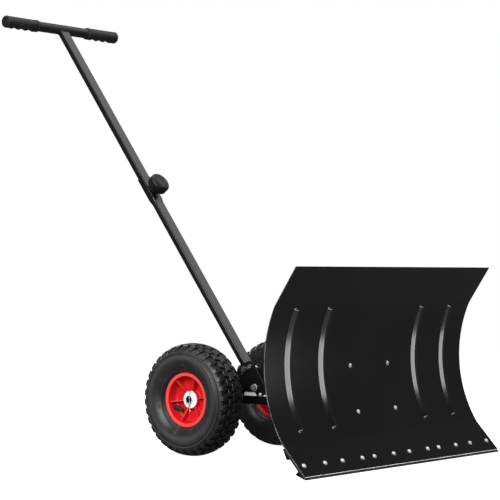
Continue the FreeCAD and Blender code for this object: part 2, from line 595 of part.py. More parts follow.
def sector_plate():
    """Flat fan behind the king pin, with a curved slot for the swivel lock bolt."""
    z0, z1 = BEAM_TOP + GAP, BEAM_TOP + GAP + SECTOR_T

    def at(angle, radius, z=z0):
        a = math.radians(angle)
        return V(radius * math.sin(a), KING_Y + radius * math.cos(a), z)

    def fan(spread, far):
        corners = [at(0, 0), at(-spread, far), at(-spread / 3, far), at(spread / 3, far), at(spread, far)]
        return Part.Face(Part.makePolygon(corners + corners[:1])).extrude(V(0, 0, SECTOR_T))
    outer = fan(42, 120).common(rod(SWIVEL_R + 13, at(0, 0, z0), at(0, 0, z1)))
    tongue = block(-26, 26, -356, KING_Y, z0, z1)
    slot_r = BOLT8 + 0.15
    slot = ring(SWIVEL_R + slot_r, SWIVEL_R - slot_r, at(0, 0, z0), at(0, 0, z1)).common(fan(SWIVEL, 120))
    ends = [rod(slot_r, at(a, SWIVEL_R, z0), at(a, SWIVEL_R, z1)) for a in (-SWIVEL, SWIVEL)]
    holes = [rod(BOLT12 + FIT, at(0, 0, z0), at(0, 0, z1))]
    holes += [rod(BOLT8 + FIT, V(x, -340, z0), V(x, -340, z1)) for x in (-16, 16)]
    plate = fuse(outer, tongue, rod(26, at(0, 0, z0), at(0, 0, z1)))
    return plate.cut(fuse(slot, *ends)).cut(Part.makeCompound(holes))


def blade_pieces():
    add("blade_sheet", blade_sheet())
    add("scraper_rubber", scraper_rubber())
    add("scraper_rail", scraper_rail())
    stack = SHEET + RUBBER_T + RAIL_T
    add("scraper_bolts", *[dome_bolt(3, 6.8, 3.4, stack + 8, p, BEHIND) for p in edge_bolt_points()])
    add("scraper_nuts", *[nut(10, 5, 3, p + BEHIND * stack, BEHIND) for p in edge_bolt_points()])
    add("blade_bracket", blade_bracket())
    depth = SHEET + PAD_T
    add("bracket_bolts", *[dome_bolt(2.5, 5.5, 2.6, depth + 7, p - n * DOME_LIFT, n)
                           for p, n in centre_bolt_points()])
    add("bracket_nuts", *[nut(8, 4, 2.5, p + n * (depth + 0.3), n) for p, n in centre_bolt_points()])
    add("sector_plate", sector_plate())
    top = BEAM_TOP + GAP + SECTOR_T + FORK_T
    under = BEAM_TOP + GAP
    down = -Z_AXIS
    add("sector_bolts", *[hex_bolt(BOLT8, 13, 5.3, 18, V(x, -340, top), down) for x in (-16, 16)])
    add("sector_nuts", *[nut(13, 6.5, BOLT8, V(x, -340, under), down) for x in (-16, 16)])
    low = BEAM_BOTTOM - GAP - FORK_T
    add("king_pin", hex_bolt(BOLT12, 18, 7.5, top - low + 13, V(0, KING_Y, top), down))
    add("king_pin_nut", nut(18, 10, BOLT12, V(0, KING_Y, low), down))


wheel("left", -1)
wheel("right", 1)
frame_pieces()
handle_pieces()
blade_pieces()

toe_up = (SHEET * SLOPE.y - FOOT_Z) / SLOPE.z
front_y = on_slope(toe_up, SHEET).y
rear_y = PIVOT_Y + HANDLE_LENGTH * math.cos(math.radians(LEAN)) + GRIP_COLLAR_R
SHIFT = V(0, -(front_y + rear_y) / 2, 0)

os.makedirs("parts", exist_ok=True)
for name, shape in parts.items():
    shape = shape.copy()
    shape.translate(SHIFT)
    shape.exportStep("parts/%s.step" % name)
    if not shape.isValid():
        print("invalid:", name)
print("nodes", len(parts), "shift", round(SHIFT.y, 4))
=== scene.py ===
import json
import math
from math import cos, pi, radians, sin, sqrt

import bmesh
import bpy
from mathutils import Matrix, Vector

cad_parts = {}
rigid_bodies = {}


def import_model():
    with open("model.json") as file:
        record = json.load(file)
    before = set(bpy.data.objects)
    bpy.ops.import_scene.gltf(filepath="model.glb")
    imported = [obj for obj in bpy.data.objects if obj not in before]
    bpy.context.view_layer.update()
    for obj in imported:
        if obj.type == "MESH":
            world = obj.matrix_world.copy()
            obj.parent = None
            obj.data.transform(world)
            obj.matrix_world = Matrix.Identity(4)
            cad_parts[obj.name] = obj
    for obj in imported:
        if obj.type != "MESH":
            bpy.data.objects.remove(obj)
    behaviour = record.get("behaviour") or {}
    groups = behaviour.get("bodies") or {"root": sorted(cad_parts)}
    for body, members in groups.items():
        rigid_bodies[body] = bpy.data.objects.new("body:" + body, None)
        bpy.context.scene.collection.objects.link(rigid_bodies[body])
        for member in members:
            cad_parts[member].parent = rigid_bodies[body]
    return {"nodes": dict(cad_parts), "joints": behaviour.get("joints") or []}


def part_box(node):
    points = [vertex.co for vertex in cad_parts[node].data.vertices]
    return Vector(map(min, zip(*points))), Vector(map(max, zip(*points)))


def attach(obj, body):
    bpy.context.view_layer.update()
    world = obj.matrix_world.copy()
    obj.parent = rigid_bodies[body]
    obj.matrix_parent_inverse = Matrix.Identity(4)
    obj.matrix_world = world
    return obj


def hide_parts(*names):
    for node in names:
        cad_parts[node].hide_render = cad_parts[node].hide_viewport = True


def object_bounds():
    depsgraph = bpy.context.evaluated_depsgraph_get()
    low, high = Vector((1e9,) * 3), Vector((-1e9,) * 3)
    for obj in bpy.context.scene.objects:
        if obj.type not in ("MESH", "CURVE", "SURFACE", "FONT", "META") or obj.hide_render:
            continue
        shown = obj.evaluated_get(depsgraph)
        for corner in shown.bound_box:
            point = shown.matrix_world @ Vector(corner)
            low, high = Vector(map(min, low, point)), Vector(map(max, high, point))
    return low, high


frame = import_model()
cad_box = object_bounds()

# A wheeled snow shovel. Metres, +Z up, the blade faces -Y.
# Outlines are written in millimetres and scaled by MM.
MM = 0.001
X_AXIS, Z_AXIS = Vector((1, 0, 0)), Vector((0, 0, 1))
SIDES = (("left", -1), ("right", 1))
JOINTS = {joint["name"]: joint for joint in frame["joints"]}


def middle(node):
    low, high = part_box(node)
    return (low + high) / 2


AXLE = middle("axle_tube")
PIVOT = Vector(JOINTS["handle_tilt"]["pos_m"])
DATUM_Y = PIVOT.y + 0.055  # the Y that the blade's and the camera's places are counted from
HANDLE_UP = (middle("cross_bar") - PIVOT).normalized()
HANDLE_FRONT = X_AXIS.cross(HANDLE_UP)
HANDLE_LENGTH = (middle("cross_bar") - PIVOT).length


# ---------------- materials

def ramp(nodes, low, high, dark, light):
    node = nodes.new("ShaderNodeValToRGB")
    node.color_ramp.elements[0].position = low
    node.color_ramp.elements[0].color = dark
    node.color_ramp.elements[1].position = high
    node.color_ramp.elements[1].color = light
    return node


def noise(nodes, links, coords, scale, detail, stretch):
    mapping = nodes.new("ShaderNodeMapping")
    mapping.inputs["Scale"].default_value = stretch
    links.new(coords, mapping.inputs["Vector"])
    node = nodes.new("ShaderNodeTexNoise")
    node.inputs["Scale"].default_value = scale
    node.inputs["Detail"].default_value = detail
    links.new(mapping.outputs["Vector"], node.inputs["Vector"])
    return node.outputs["Fac"]


def map_range(nodes, links, value, low, high, to_low, to_high):
    node = nodes.new("ShaderNodeMapRange")
    for socket, number in zip(("From Min", "From Max", "To Min", "To Max"), (low, high, to_low, to_high)):
        node.inputs[socket].default_value = number
    links.new(value, node.inputs["Value"])
    return node.outputs["Result"]


def mix(nodes, links, factor, first, second):
    node = nodes.new("ShaderNodeMix")
    node.data_type = "RGBA"
    for socket, value in ((0, factor), (6, first), (7, second)):
        if hasattr(value, "is_linked"):
            links.new(value, node.inputs[socket])
        else:
            node.inputs[socket].default_value = value
    return node.outputs[2]


def finish(name, colour, rough, metallic=0.0, gloss=0.5, patch=9.0, spread=0.25, grain=900.0,
           bump=0.15, bump_depth=0.00006, stretch=(1, 1, 1), wear=None):
    """Patchy colour, uneven gloss and a fine grain; wear is (colour, low, high, roughness)."""
    made = bpy.data.materials.new(name)
    made.use_nodes = True
    nodes, links = made.node_tree.nodes, made.node_tree.links
    shader = nodes["Principled BSDF"]
    coords = nodes.new("ShaderNodeTexCoord").outputs["Object"]
    broad = noise(nodes, links, coords, patch, 5.0, stretch)
    fine = noise(nodes, links, coords, grain, 2.0, stretch)
    dark = (*[c * (1 - spread) for c in colour], 1)
    light = (*[min(1, c * (1 + spread)) for c in colour], 1)
    tint = ramp(nodes, 0.3, 0.7, dark, light)
    links.new(broad, tint.inputs["Fac"])
    final = tint.outputs["Color"]
    uneven_rough = map_range(nodes, links, broad, 0.3, 0.7, rough * 0.85, min(1, rough * 1.15))
    if wear:
        worn_colour, low, high, worn_rough = wear
        marks = noise(nodes, links, coords, 60.0, 8.0, stretch)
        mask = map_range(nodes, links, marks, low, high, 0.0, 1.0)
        final = mix(nodes, links, mask, final, (*worn_colour, 1))
        blend_rough = nodes.new("ShaderNodeMix")
        links.new(mask, blend_rough.inputs[0])
        links.new(uneven_rough, blend_rough.inputs[2])
        blend_rough.inputs[3].default_value = worn_rough
        uneven_rough = blend_rough.outputs[0]
    links.new(final, shader.inputs["Base Color"])
    links.new(uneven_rough, shader.inputs["Roughness"])
    shader.inputs["Metallic"].default_value = metallic
    shader.inputs["Specular IOR Level"].default_value = gloss
    relief = nodes.new("ShaderNodeBump")
    relief.inputs["Strength"].default_value = bump
    relief.inputs["Distance"].default_value = bump_depth
    links.new(fine, relief.inputs["Height"])
    links.new(relief.outputs["Normal"], shader.inputs["Normal"])
    return made


COATING = finish("powder_coat", (0.0034, 0.0034, 0.0036), 0.42, gloss=0.30, grain=420, bump=0.25)
COATING_EDGE = finish("powder_coat_edge", (0.0036, 0.0036, 0.0038), 0.50, gloss=0.35, grain=420,
                      wear=((0.12, 0.12, 0.125), 0.64, 0.74, 0.35))
TUBE_PAINT = finish("tube_paint", (0.0058, 0.0058, 0.0061), 0.21, grain=500, bump=0.08)
BLADE_PAINT = finish("blade_coat", (0.0018, 0.0018, 0.0020), 0.17, gloss=0.38, patch=4.0, spread=0.15,
                     grain=380, bump=0.08)
# The blade's cut edges: light grey on the foot's end face and grey metal on the sides, partly bare steel
# and partly painted highlights along these edge lines.
FOOT_EDGE_HIGHLIGHT = finish("blade_foot_edge", (0.62, 0.62, 0.63), 0.40, metallic=0.1,
                   wear=((0.30, 0.30, 0.30), 0.55, 0.70, 0.5))
RAIL_END = finish("rail_end", (0.016, 0.016, 0.0165), 0.45, gloss=0.4)
BLADE_EDGE_HIGHLIGHT = finish("blade_cut_edge", (0.22, 0.22, 0.225), 0.36, metallic=0.7,
                    wear=((0.05, 0.05, 0.052), 0.45, 0.62, 0.5))
WELD = finish("weld", (0.014, 0.014, 0.0145), 0.4, bump=0.4)
ZINC = finish("zinc", (0.70, 0.71, 0.73), 0.30, metallic=1.0, patch=120, spread=0.10, grain=1800, bump=0.1,
              wear=((0.50, 0.50, 0.50), 0.56, 0.72, 0.42))
BOLT_ZINC = finish("bolt_zinc", (0.66, 0.67, 0.69), 0.36, metallic=0.3, patch=120, spread=0.15, grain=1800,
                   bump=0.12)
ZINC_BAR = finish("zinc_bar", (0.80, 0.80, 0.81), 0.45, metallic=0.2, patch=40, spread=0.12,
                  stretch=(1, 0.15, 1))
BRIGHT_ZINC = finish("bright_zinc", (0.93, 0.93, 0.94), 0.40, patch=160, spread=0.06,
                     grain=1500, bump=0.08)
# Near-black for the axle tube's bore and the cut end round it: painted shade for the tube's dark hollow.
BORE_SHADE = finish("oily_bore", (0.010, 0.009, 0.008), 0.7, gloss=0.1, patch=60)
TYRE = finish("tyre_rubber", (0.0165, 0.0165, 0.017), 0.38, gloss=0.4, patch=22, spread=0.30,
              bump=0.35, bump_depth=0.0001, wear=((0.040, 0.039, 0.037), 0.60, 0.80, 0.85))
TUBE_RUBBER = finish("tube_rubber", (0.012, 0.012, 0.012), 0.5, grain=1100)
GRIP = finish("grip_rubber", (0.018, 0.018, 0.0185), 0.50, gloss=0.4, patch=30, grain=1400, bump=0.5,
              bump_depth=0.0001)
GRIP_END = finish("grip_end", (0.0065, 0.0065, 0.0068), 0.62, gloss=0.3, patch=60, grain=1400, bump=0.4)
BLACK_ZINC = finish("black_zinc", (0.085, 0.085, 0.088), 0.36, metallic=0.4, patch=120, spread=0.2)
DULL_ZINC = finish("dull_zinc", (0.26, 0.26, 0.265), 0.36, metallic=0.6, patch=120, spread=0.2)
# The tread is the tyre's rubber in a much darker copy: painted shade that darkens the blocks facing the
# front.
TREAD_SHADED = finish("tyre_tread", (0.0042, 0.0042, 0.0044), 0.50, gloss=0.45, patch=14, spread=0.3, grain=600)
BAR_PAINT = finish("bar_paint", (0.0125, 0.0125, 0.0128), 0.44, patch=20)
PLASTIC = finish("black_plastic", (0.0065, 0.0065, 0.0068), 0.50, gloss=0.30, patch=40, grain=1300,
                 bump=0.4)
SCRAPER = finish("scraper_rubber", (0.012, 0.012, 0.0125), 0.65, gloss=0.3, patch=25, bump=0.4,
                 wear=((0.035, 0.034, 0.033), 0.58, 0.75, 0.85))
MOULDED = {"patch": 18, "grain": 500, "bump": 0.12}
# One red plastic in three copies: the darker red is painted shade for the hollow, web and ribs, the bright
# red is a painted highlight on the flat outer flanges, and the lighter red is a painted highlight on the
# ribs' outer edges.
RIM_SHADED = finish("rim_plastic", (0.60, 0.008, 0.011), 0.36, gloss=0.4, spread=0.10, **MOULDED)
RIM_LIT_FACE = finish("rim_plastic_face", (0.95, 0.068, 0.066), 0.42, spread=0.08, **MOULDED)
RIM_LIT_RIB = finish("rim_plastic_rib", (0.60, 0.020, 0.020), 0.38, spread=0.10, **MOULDED)


# ---------------- mesh helpers

CAD_EDGE_ANGLE = 32.0  # edges of a CAD node sharper than this are rounded
WELD_POINTS = 1e-6  # points of a new mesh closer than this become one
WELD_CAD_POINTS = 2e-6


def show(mesh, materials, body, replaced, sharp):
    """Put a mesh in the scene as a piece of a body, smooth except at edges sharper than the angle."""
    mesh.materials.clear()
    for made in materials:
        mesh.materials.append(made)
    mesh.shade_smooth()
    mesh.set_sharp_from_angle(angle=radians(sharp))
    piece = bpy.data.objects.new(mesh.name, mesh)
    bpy.context.scene.collection.objects.link(piece)
    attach(piece, body)
    if replaced:
        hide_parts(*replaced)
    return piece


def new_piece(name, verts, faces, materials, body, slot, replaced=(), sharp=35.0):
    """A piece from closed shapes."""
    mesh = bpy.data.meshes.new(name)
    mesh.from_pydata([tuple(v) for v in verts], [], faces)
    shape = bmesh.new()
    shape.from_mesh(mesh)
    bmesh.ops.remove_doubles(shape, verts=shape.verts, dist=WELD_POINTS)
    bmesh.ops.recalc_face_normals(shape, faces=shape.faces)
    shape.to_mesh(mesh)
    shape.free()
    return show(mesh, materials, body, replaced, sharp)


def round_edges(piece, width, segments, angle):
    """Round every edge of a piece that is sharper than the angle."""
    bevel = piece.modifiers.new("rounding", "BEVEL")
    bevel.width = width
    bevel.segments = segments
    bevel.limit_method = "ANGLE"
    bevel.angle_limit = radians(angle)
    bevel.use_clamp_overlap = False
    bevel.harden_normals = True
    return bevel


def bevelled(node, width, materials, body, segments=2):
    """A copy of a CAD node with rounded edges; the rounding takes the second material."""
    mesh = frame["nodes"][node].data.copy()
    mesh.name = node + "_finished"
    shape = bmesh.new()
    shape.from_mesh(mesh)
    bmesh.ops.remove_doubles(shape, verts=shape.verts, dist=WELD_CAD_POINTS)
    bmesh.ops.dissolve_limit(shape, angle_limit=radians(0.4), verts=shape.verts, edges=shape.edges)
    bmesh.ops.recalc_face_normals(shape, faces=shape.faces)
    bmesh.ops.triangulate(shape, faces=[face for face in shape.faces if len(face.verts) > 4])
    for face in shape.faces:
        face.material_index = 0
    shape.to_mesh(mesh)
    shape.free()
    piece = show(mesh, materials, body, [node], CAD_EDGE_ANGLE)
    bevel = round_edges(piece, width, segments, CAD_EDGE_ANGLE)
    bevel.miter_outer = "MITER_ARC"
    bevel.material = 1 if len(materials) > 1 else -1
    return piece


def rounded(corners, steps=4):
    """A closed outline from (a, b, radius) corners, each corner replaced by a short curve."""
    outline = []
    count = len(corners)
    for i, (a, b, radius) in enumerate(corners):
        here = Vector((a, b))
        if radius <= 0:
            outline.append(here)
            continue
        before = Vector(corners[i - 1][:2]) - here
        after = Vector(corners[(i + 1) % count][:2]) - here
        reach = min(radius, before.length * 0.49, after.length * 0.49)
        start, end = here + before.normalized() * reach, here + after.normalized() * reach
        for k in range(steps + 1):
            t = k / steps
            outline.append(start * (1 - t) ** 2 + here * 2 * t * (1 - t) + end * t ** 2)
    return outline


def turn_about(outline, steps, place, flutes=None):
    """Revolve a closed (along, radius) outline in millimetres about the X axis of a placement."""
    verts, faces, count = [], [], len(outline)
    for i in range(steps):
        a = 2 * pi * i / steps
        for k, (along, radius) in enumerate(outline):
            verts.append(ring_point(place, along, radius - (flutes(k, a) if flutes else 0.0), a))
    for i in range(steps):
        faces += ring_faces(i * count, (i + 1) % steps * count, count)
    return verts, faces


def placement(at, along, side=Z_AXIS):
    """A matrix whose X axis is the given direction; the side only sets the turn about it."""
    x = along.normalized()
    y = side.cross(x)
    y = y.normalized() if y.length > 1e-6 else Vector((0, 1, 0)).cross(x).normalized()
    z = x.cross(y)
    turn = Matrix((x, y, z)).transposed().to_4x4()
    return Matrix.Translation(at) @ turn


def join(*shapes):
    """Several (verts, faces) shapes as one."""
    verts, faces = [], []
    for some_verts, some_faces in shapes:
        base = len(verts)
        verts += list(some_verts)
        faces += [tuple(base + i for i in face) for face in some_faces]
    return verts, faces


def tube_along(path, radius, sides=10, closed=False):
    """A round bar along a path; the radius may be a function of the distance along it."""
    count = len(path)
    verts, faces = [], []
    travelled = 0.0
    side = None
    for i, point in enumerate(path):
        before = path[i - 1] if i or closed else point
        after = path[(i + 1) % count] if i < count - 1 or closed else point
        tangent = (after - before).normalized()
        if side is None:
            side = tangent.orthogonal().normalized()
        side = (side - tangent * side.dot(tangent)).normalized()
        up = tangent.cross(side)
        r = radius(travelled) if callable(radius) else radius
        for k in range(sides):
            a = 2 * pi * k / sides
            verts.append(point + (side * cos(a) + up * sin(a)) * r)
        if i < count - 1:
            travelled += (path[i + 1] - point).length
    spans = count if closed else count - 1
    for i in range(spans):
        faces += ring_faces(i * sides, (i + 1) % count * sides, sides)
    if not closed:
        faces.append(tuple(range(sides)))
        faces.append(tuple((count - 1) * sides + k for k in range(sides)))
    return verts, faces


def weld_bead(name, path, size, body):
    """A closed weld seam with the ripples that the torch leaves."""
    pitch = 1.5 * size

    def radius(travelled):
        return size * (1 + 0.10 * sin(2 * pi * travelled / pitch))
    verts, faces = tube_along(path, radius, 10, closed=True)
    new_piece(name, verts, faces, [WELD], body, "black_steel", sharp=80)


def resample(points, spacing):
    """The same line with points at an even spacing."""
    out = []
    for a, b in zip(points, points[1:]):
        steps = max(1, round((b - a).length / spacing))
        out += [a.lerp(b, k / steps) for k in range(steps)]
    return out + [points[-1]]


def ring_faces(low, high, count):
    """Quads between two closed rings of points that start at the given indices."""
    return [(low + k, low + (k + 1) % count, high + (k + 1) % count, high + k) for k in range(count)]


def grid_border(rows, columns):
    """The points round the edge of a grid that is numbered row by row."""
    border = list(range(columns)) + [i * columns + columns - 1 for i in range(1, rows)]
    border += [(rows - 1) * columns + j for j in range(columns - 2, -1, -1)]
    return border + [i * columns for i in range(rows - 2, 0, -1)]


def ring_point(place, along, radius, angle):
    """A point at a distance along and round the X axis of a placement, in millimetres."""
    return place @ Vector((along * MM, radius * MM * cos(angle), radius * MM * sin(angle)))


# ---------------- wheels

WHEEL_STEPS = 136
PITCHES = 34  # tread blocks round the tyre
TREAD_DEPTH = 4.6
CROWN_HALF = 31.0  # half of the tread's own width
CROWN_R, CROWN_CENTRE = 87.0, 43.0  # the tread's own arc, and its centre's distance from the axle
SHOULDER, BULGE, BEAD_TOP_POINT = (33.0, 123.5), (43.0, 90.0), (28.5, 65.0)  # (x, radius) of the side
WALL_START = (34.6, 120.5)  # the side's first point, past the rounded shoulder
TREAD_FADE = 22.0  # distance over which the carcass rises to the shoulder's end
HUB_BORE, HUB_R, WEB_R, WEB_HALF = 13.05, 22.0, 50.6, 2.0
BARREL_R, BARREL_HALF = 57.5, 24.35
FLANGE_R, FLANGE_HALF = 62.7, 26.8
RIB_COUNT, RIB_PHASE, RIB_THICK = 6, 8.0, 3.5
VALVE_ANGLE, VALVE_X = 203.0, 12.0
CAP_R, CAP_LENGTH = 4.6, 9.6


def arc_through(a, b, c, steps, first=None):
    """Points on the circle through three (x, radius) points, up to the last of them."""
    ax, ay, bx, by, cx, cy = *a, *b, *c
    d = 2 * (ax * (by - cy) + bx * (cy - ay) + cx * (ay - by))
    sa, sb, sc = ax ** 2 + ay ** 2, bx ** 2 + by ** 2, cx ** 2 + cy ** 2
    ux = (sa * (by - cy) + sb * (cy - ay) + sc * (ay - by)) / d
    uy = (sa * (cx - bx) + sb * (ax - cx) + sc * (bx - ax)) / d
    radius = sqrt((ax - ux) ** 2 + (ay - uy) ** 2)
    start, end = (math.atan2(p[1] - uy, p[0] - ux) for p in (first or a, c))
    angles = [start + (end - start) * k / steps for k in range(steps + 1)]
    return [Vector((ux + radius * cos(t), uy + radius * sin(t))) for t in angles]


def tyre_line():
    """Outer line of the tyre from the crown's middle down to the bead, as (x, radius) points."""
    crown = [CROWN_HALF * k / 23 for k in range(24)]
    points = [Vector((x, CROWN_CENTRE + sqrt(CROWN_R ** 2 - x ** 2))) for x in crown]
    return points + arc_through(SHOULDER, BULGE, BEAD_TOP_POINT, 48, WALL_START)


class Profile:
    """A line in the (x, radius) plane that can be read at any distance along it."""

    def __init__(self, points):
        self.points = points
        self.reach = [0.0]
        for a, b in zip(self.points, self.points[1:]):
            self.reach.append(self.reach[-1] + (b - a).length)

    def at(self, distance, depth=0.0):
        distance = max(0.0, min(distance, self.reach[-1] - 1e-6))
        i = max(k for k, r in enumerate(self.reach[:-1]) if r <= distance)
        a, b = self.points[i], self.points[i + 1]
        share = (distance - self.reach[i]) / (self.reach[i + 1] - self.reach[i])
        before = self.points[max(i - 1, 0)]
        after = self.points[min(i + 2, len(self.points) - 1)]
        tangent = ((b - before).normalized() * (1 - share) + (after - a).normalized() * share).normalized()
        inward = Vector((tangent.y, -tangent.x))
        return a.lerp(b, share) + inward * depth


TYRE_PROFILE = Profile(tyre_line())
SHOULDER_END = 50.0  # distance along the profile where the tread meets the sidewall


# Moulded rings on the sidewall: distance from the axle, height and half width.
WALL_RINGS = ((106.2, -0.8, 0.9), (111.2, 1.0, 0.75), (108.6, 0.35, 0.5), (69.5, 0.9, 0.9))


def wall_relief(distance, radius):
    """Height of the sidewall's moulding above its plain line; the tread has none."""
    if distance <= 36:
        return 0.0
    raised = 0.9 / (1 + math.exp((radius - 104.5) * 2.2))
    rings = [height * math.exp(-((radius - at) / width) ** 2) for at, height, width in WALL_RINGS]
    return sum(rings, raised)


def carcass_outline():
    """Closed outline of the tyre without its blocks."""
    side = []
    distance, end = 0.0, TYRE_PROFILE.reach[-1]
    while distance < end:
        r = TYRE_PROFILE.at(distance).y
        depth = TREAD_DEPTH * min(1.0, max(0.0, (SHOULDER_END - distance) / TREAD_FADE))
        side.append(TYRE_PROFILE.at(distance, depth - wall_relief(distance, r)))
        distance += 3.0 if distance < 38 else 0.75 if r > 100 or r < 73 else 2.2
    bead = [Vector(p) for p in (BEAD_TOP_POINT, (27.4, 63.6), (25.0, 62.9), (24.3, 61.8), (24.3, 58.3),
                                (23.6, 57.6), (18.6, 57.6), (18.0, 58.4), (18.0, 63.0))]
    inner = arc_through((18.0, 63.0), (36.6, 90.0), (26.0, 115.0), 12)[1:]
    inner += [Vector((26.0 * (1 - k / 5), 115.0 + 5.5 * sin(pi / 2 * k / 5))) for k in range(1, 6)]
    half = side + bead + inner
    mirrored = [Vector((-p.x, p.y)) for p in reversed(half[1:-1])]
    return half + mirrored


def wheel_point(x, radius, angle):
    """A point on a wheel at the origin; the angle turns from the front upwards, seen from the left."""
    return Vector((x * MM, -radius * MM * cos(angle), radius * MM * sin(angle)))


def tread_block(s0, s1, start, length, slant, chevron, cells, side):
    """One chamfered rubber block from s0 to s1 across the tread; slant and chevron are angles."""
    chamfer, root, tread_r = 0.7, TREAD_DEPTH + 0.8, 124.0
    width = s1 - s0
    edge_a = chamfer / width
    edge_b = chamfer / (length * tread_r)
    across = [(0.0, root), (0.0, chamfer)] + [(edge_a + (1 - 2 * edge_a) * k / cells, 0.0)
                                              for k in range(cells + 1)] + [(1.0, chamfer), (1.0, root)]
    around = [(0.0, root), (0.0, chamfer), (edge_b, 0.0), (0.5, 0.0), (1 - edge_b, 0.0), (1.0, chamfer),
              (1.0, root)]
    verts, faces = [], []
    for a, depth_a in across:
        for b, depth_b in around:
            distance = s0 + width * a
            depth = max(depth_a, depth_b)
            sign = -1 if distance < 0 else 1
            x, r = TYRE_PROFILE.at(abs(distance), depth)
            angle = start + length * b + slant * (a - 0.5) + chevron * (1 - abs(2 * a - 1))
            verts.append(wheel_point(side * sign * x, r, angle))
    rows, columns = len(across), len(around)
    for i in range(rows - 1):
        for j in range(columns - 1):
            here, above = i * columns + j, (i + 1) * columns + j
            faces.append((here, above, above + 1, here + 1))
    faces.append(tuple(reversed(grid_border(rows, columns))))
    return verts, faces


def tread():
    """All the blocks: a chevron row in the middle, and a slanted and a shoulder row on each side."""
    pitch = 2 * pi / PITCHES
    shapes = []
    for i in range(PITCHES):
        start = i * pitch
        shapes.append(tread_block(-7.2, 7.2, start, pitch * 0.78, 0.0, pitch * 0.22, 6, 1))
        for side in (-1, 1):
            offset = pitch * (0.5 if side > 0 else 0.38)
            outer = start + offset * 0.3
            shapes += [
                tread_block(9.6, 20.4, start + offset, pitch * 0.76, pitch * 0.20 * side, 0.0, 3, side),
                tread_block(23.0, 33.0, outer, pitch * 0.62, -pitch * 0.12, 0.0, 3, side),
                tread_block(34.2, 46.0, outer + pitch * 0.02, pitch * 0.50, 0.0, 0.0, 5, side)]
    return shapes


def nubs():
    """Small rubber vent nubs on each sidewall."""
    shapes, count = [], 9
    for side in (-1, 1):
        for k in range(count):
            angle = 2 * pi * k / count + 0.35 + 0.11 * sin(5 * k)
            base = wheel_point(side * 40.2, 101.5, angle)
            path = [base + X_AXIS * (side * reach * MM) for reach in (0.0, 2.0, 2.9)]
            shapes.append(tube_along(path, 0.9 * MM, 8))
    return shapes


def rim_shape():
    """Moulded rim: one closed turned body with ribs on both sides of its web."""
    corners = [(9.5, HUB_BORE, 0.6), (9.5, HUB_R, 1.2), (WEB_HALF, 23.6, 2.5), (WEB_HALF, WEB_R, 8.0),
               (FLANGE_HALF, 54.7, 1.6), (FLANGE_HALF, FLANGE_R, 1.2), (BARREL_HALF, FLANGE_R, 0.5),
               (BARREL_HALF, BARREL_R, 0.5), (-BARREL_HALF, BARREL_R, 0.5), (-BARREL_HALF, FLANGE_R, 0.5),
               (-FLANGE_HALF, FLANGE_R, 1.2), (-FLANGE_HALF, 54.7, 1.6), (-WEB_HALF, WEB_R, 4.0),
               (-WEB_HALF, 23.6, 2.5), (-27.0, HUB_R, 1.2), (-27.0, HUB_BORE, 0.6)]
    shapes = [turn_about(rounded(corners), 96, Matrix.Identity(4))]
    plate = rounded([(20.5, -25.0, 1.0), (20.5, 9.0, 1.0), (54.0, 22.4, 1.0), (54.0, -22.4, 1.0)], 3)
    shapes += [rib(plate, radians(RIB_PHASE + i * 360 / RIB_COUNT)) for i in range(RIB_COUNT)]
    return join(*shapes)


def rib(plate, angle):
    """A flat rib along a wheel radius with rounded long edges."""
    across = Vector((0, sin(angle), cos(angle)))
    out = Vector((0, -cos(angle), sin(angle)))
    centre = sum(plate, Vector((0, 0))) / len(plate)
    layers = [(-1.0, 0.93), (-0.86, 0.965), (-0.6, 0.985), (0.6, 0.985), (0.86, 0.965), (1.0, 0.93)]
    count = len(plate)
    verts, faces = [], []
    for height, scale in layers:
        for p in plate:
            q = centre + (p - centre) * scale
            verts.append(out * q.x * MM + X_AXIS * q.y * MM + across * height * RIB_THICK / 2 * MM)
    for layer in range(len(layers) - 1):
        faces += ring_faces(layer * count, (layer + 1) * count, count)
    faces.append(tuple(range(count)))
    faces.append(tuple((len(layers) - 1) * count + k for k in range(count)))
    return verts, faces


def valve_shape():
    """Rubber valve: a stem that bends sideways in the rim's hollow and carries a fluted dust cap."""
    root = wheel_point(VALVE_X, 60.0, radians(VALVE_ANGLE))
    bend = wheel_point(VALVE_X, 46.5, radians(VALVE_ANGLE))
    tip = wheel_point(VALVE_X, 33.0, radians(VALVE_ANGLE + 28))
    along = (tip - bend).normalized()
    length = (tip - bend).length / MM
    turn_in, turn_out = root.lerp(bend, 0.6), bend + along * 6 * MM
    path = [root, turn_in]
    path += [turn_in.lerp(bend, t) * (1 - t) + bend.lerp(turn_out, t) * t for t in (0.25, 0.5, 0.75)]
    path += [turn_out, bend + along * (length - 9) * MM]

    def thickness(travelled):
        return (4.3 + 0.8 * max(0.0, min(1.0, (travelled / MM - 9) / 4))) * MM
    stem = tube_along(resample(path, 0.8 * MM), thickness, 28)
    cap = rounded([(length - CAP_LENGTH, 0.0, 0), (length - CAP_LENGTH, CAP_R, 0.8),
                   (length - 1.6, 4.4, 1.6), (length, 2.8, 1.0), (length, 0.0, 0)])

    def flutes(k, a):
        return 0.28 * (0.5 + 0.5 * cos(12 * a)) if cap[k][1] > 3.4 else 0.0
    return join(stem, turn_about(cap, 72, placement(bend, along, X_AXIS), flutes))


def shifted(shape, x_sign, centre):
    """A wheel shape mirrored for its side and moved to its axle end."""
    verts, faces = shape
    return [Vector((x_sign * v.x, v.y, v.z)) + centre for v in verts], faces


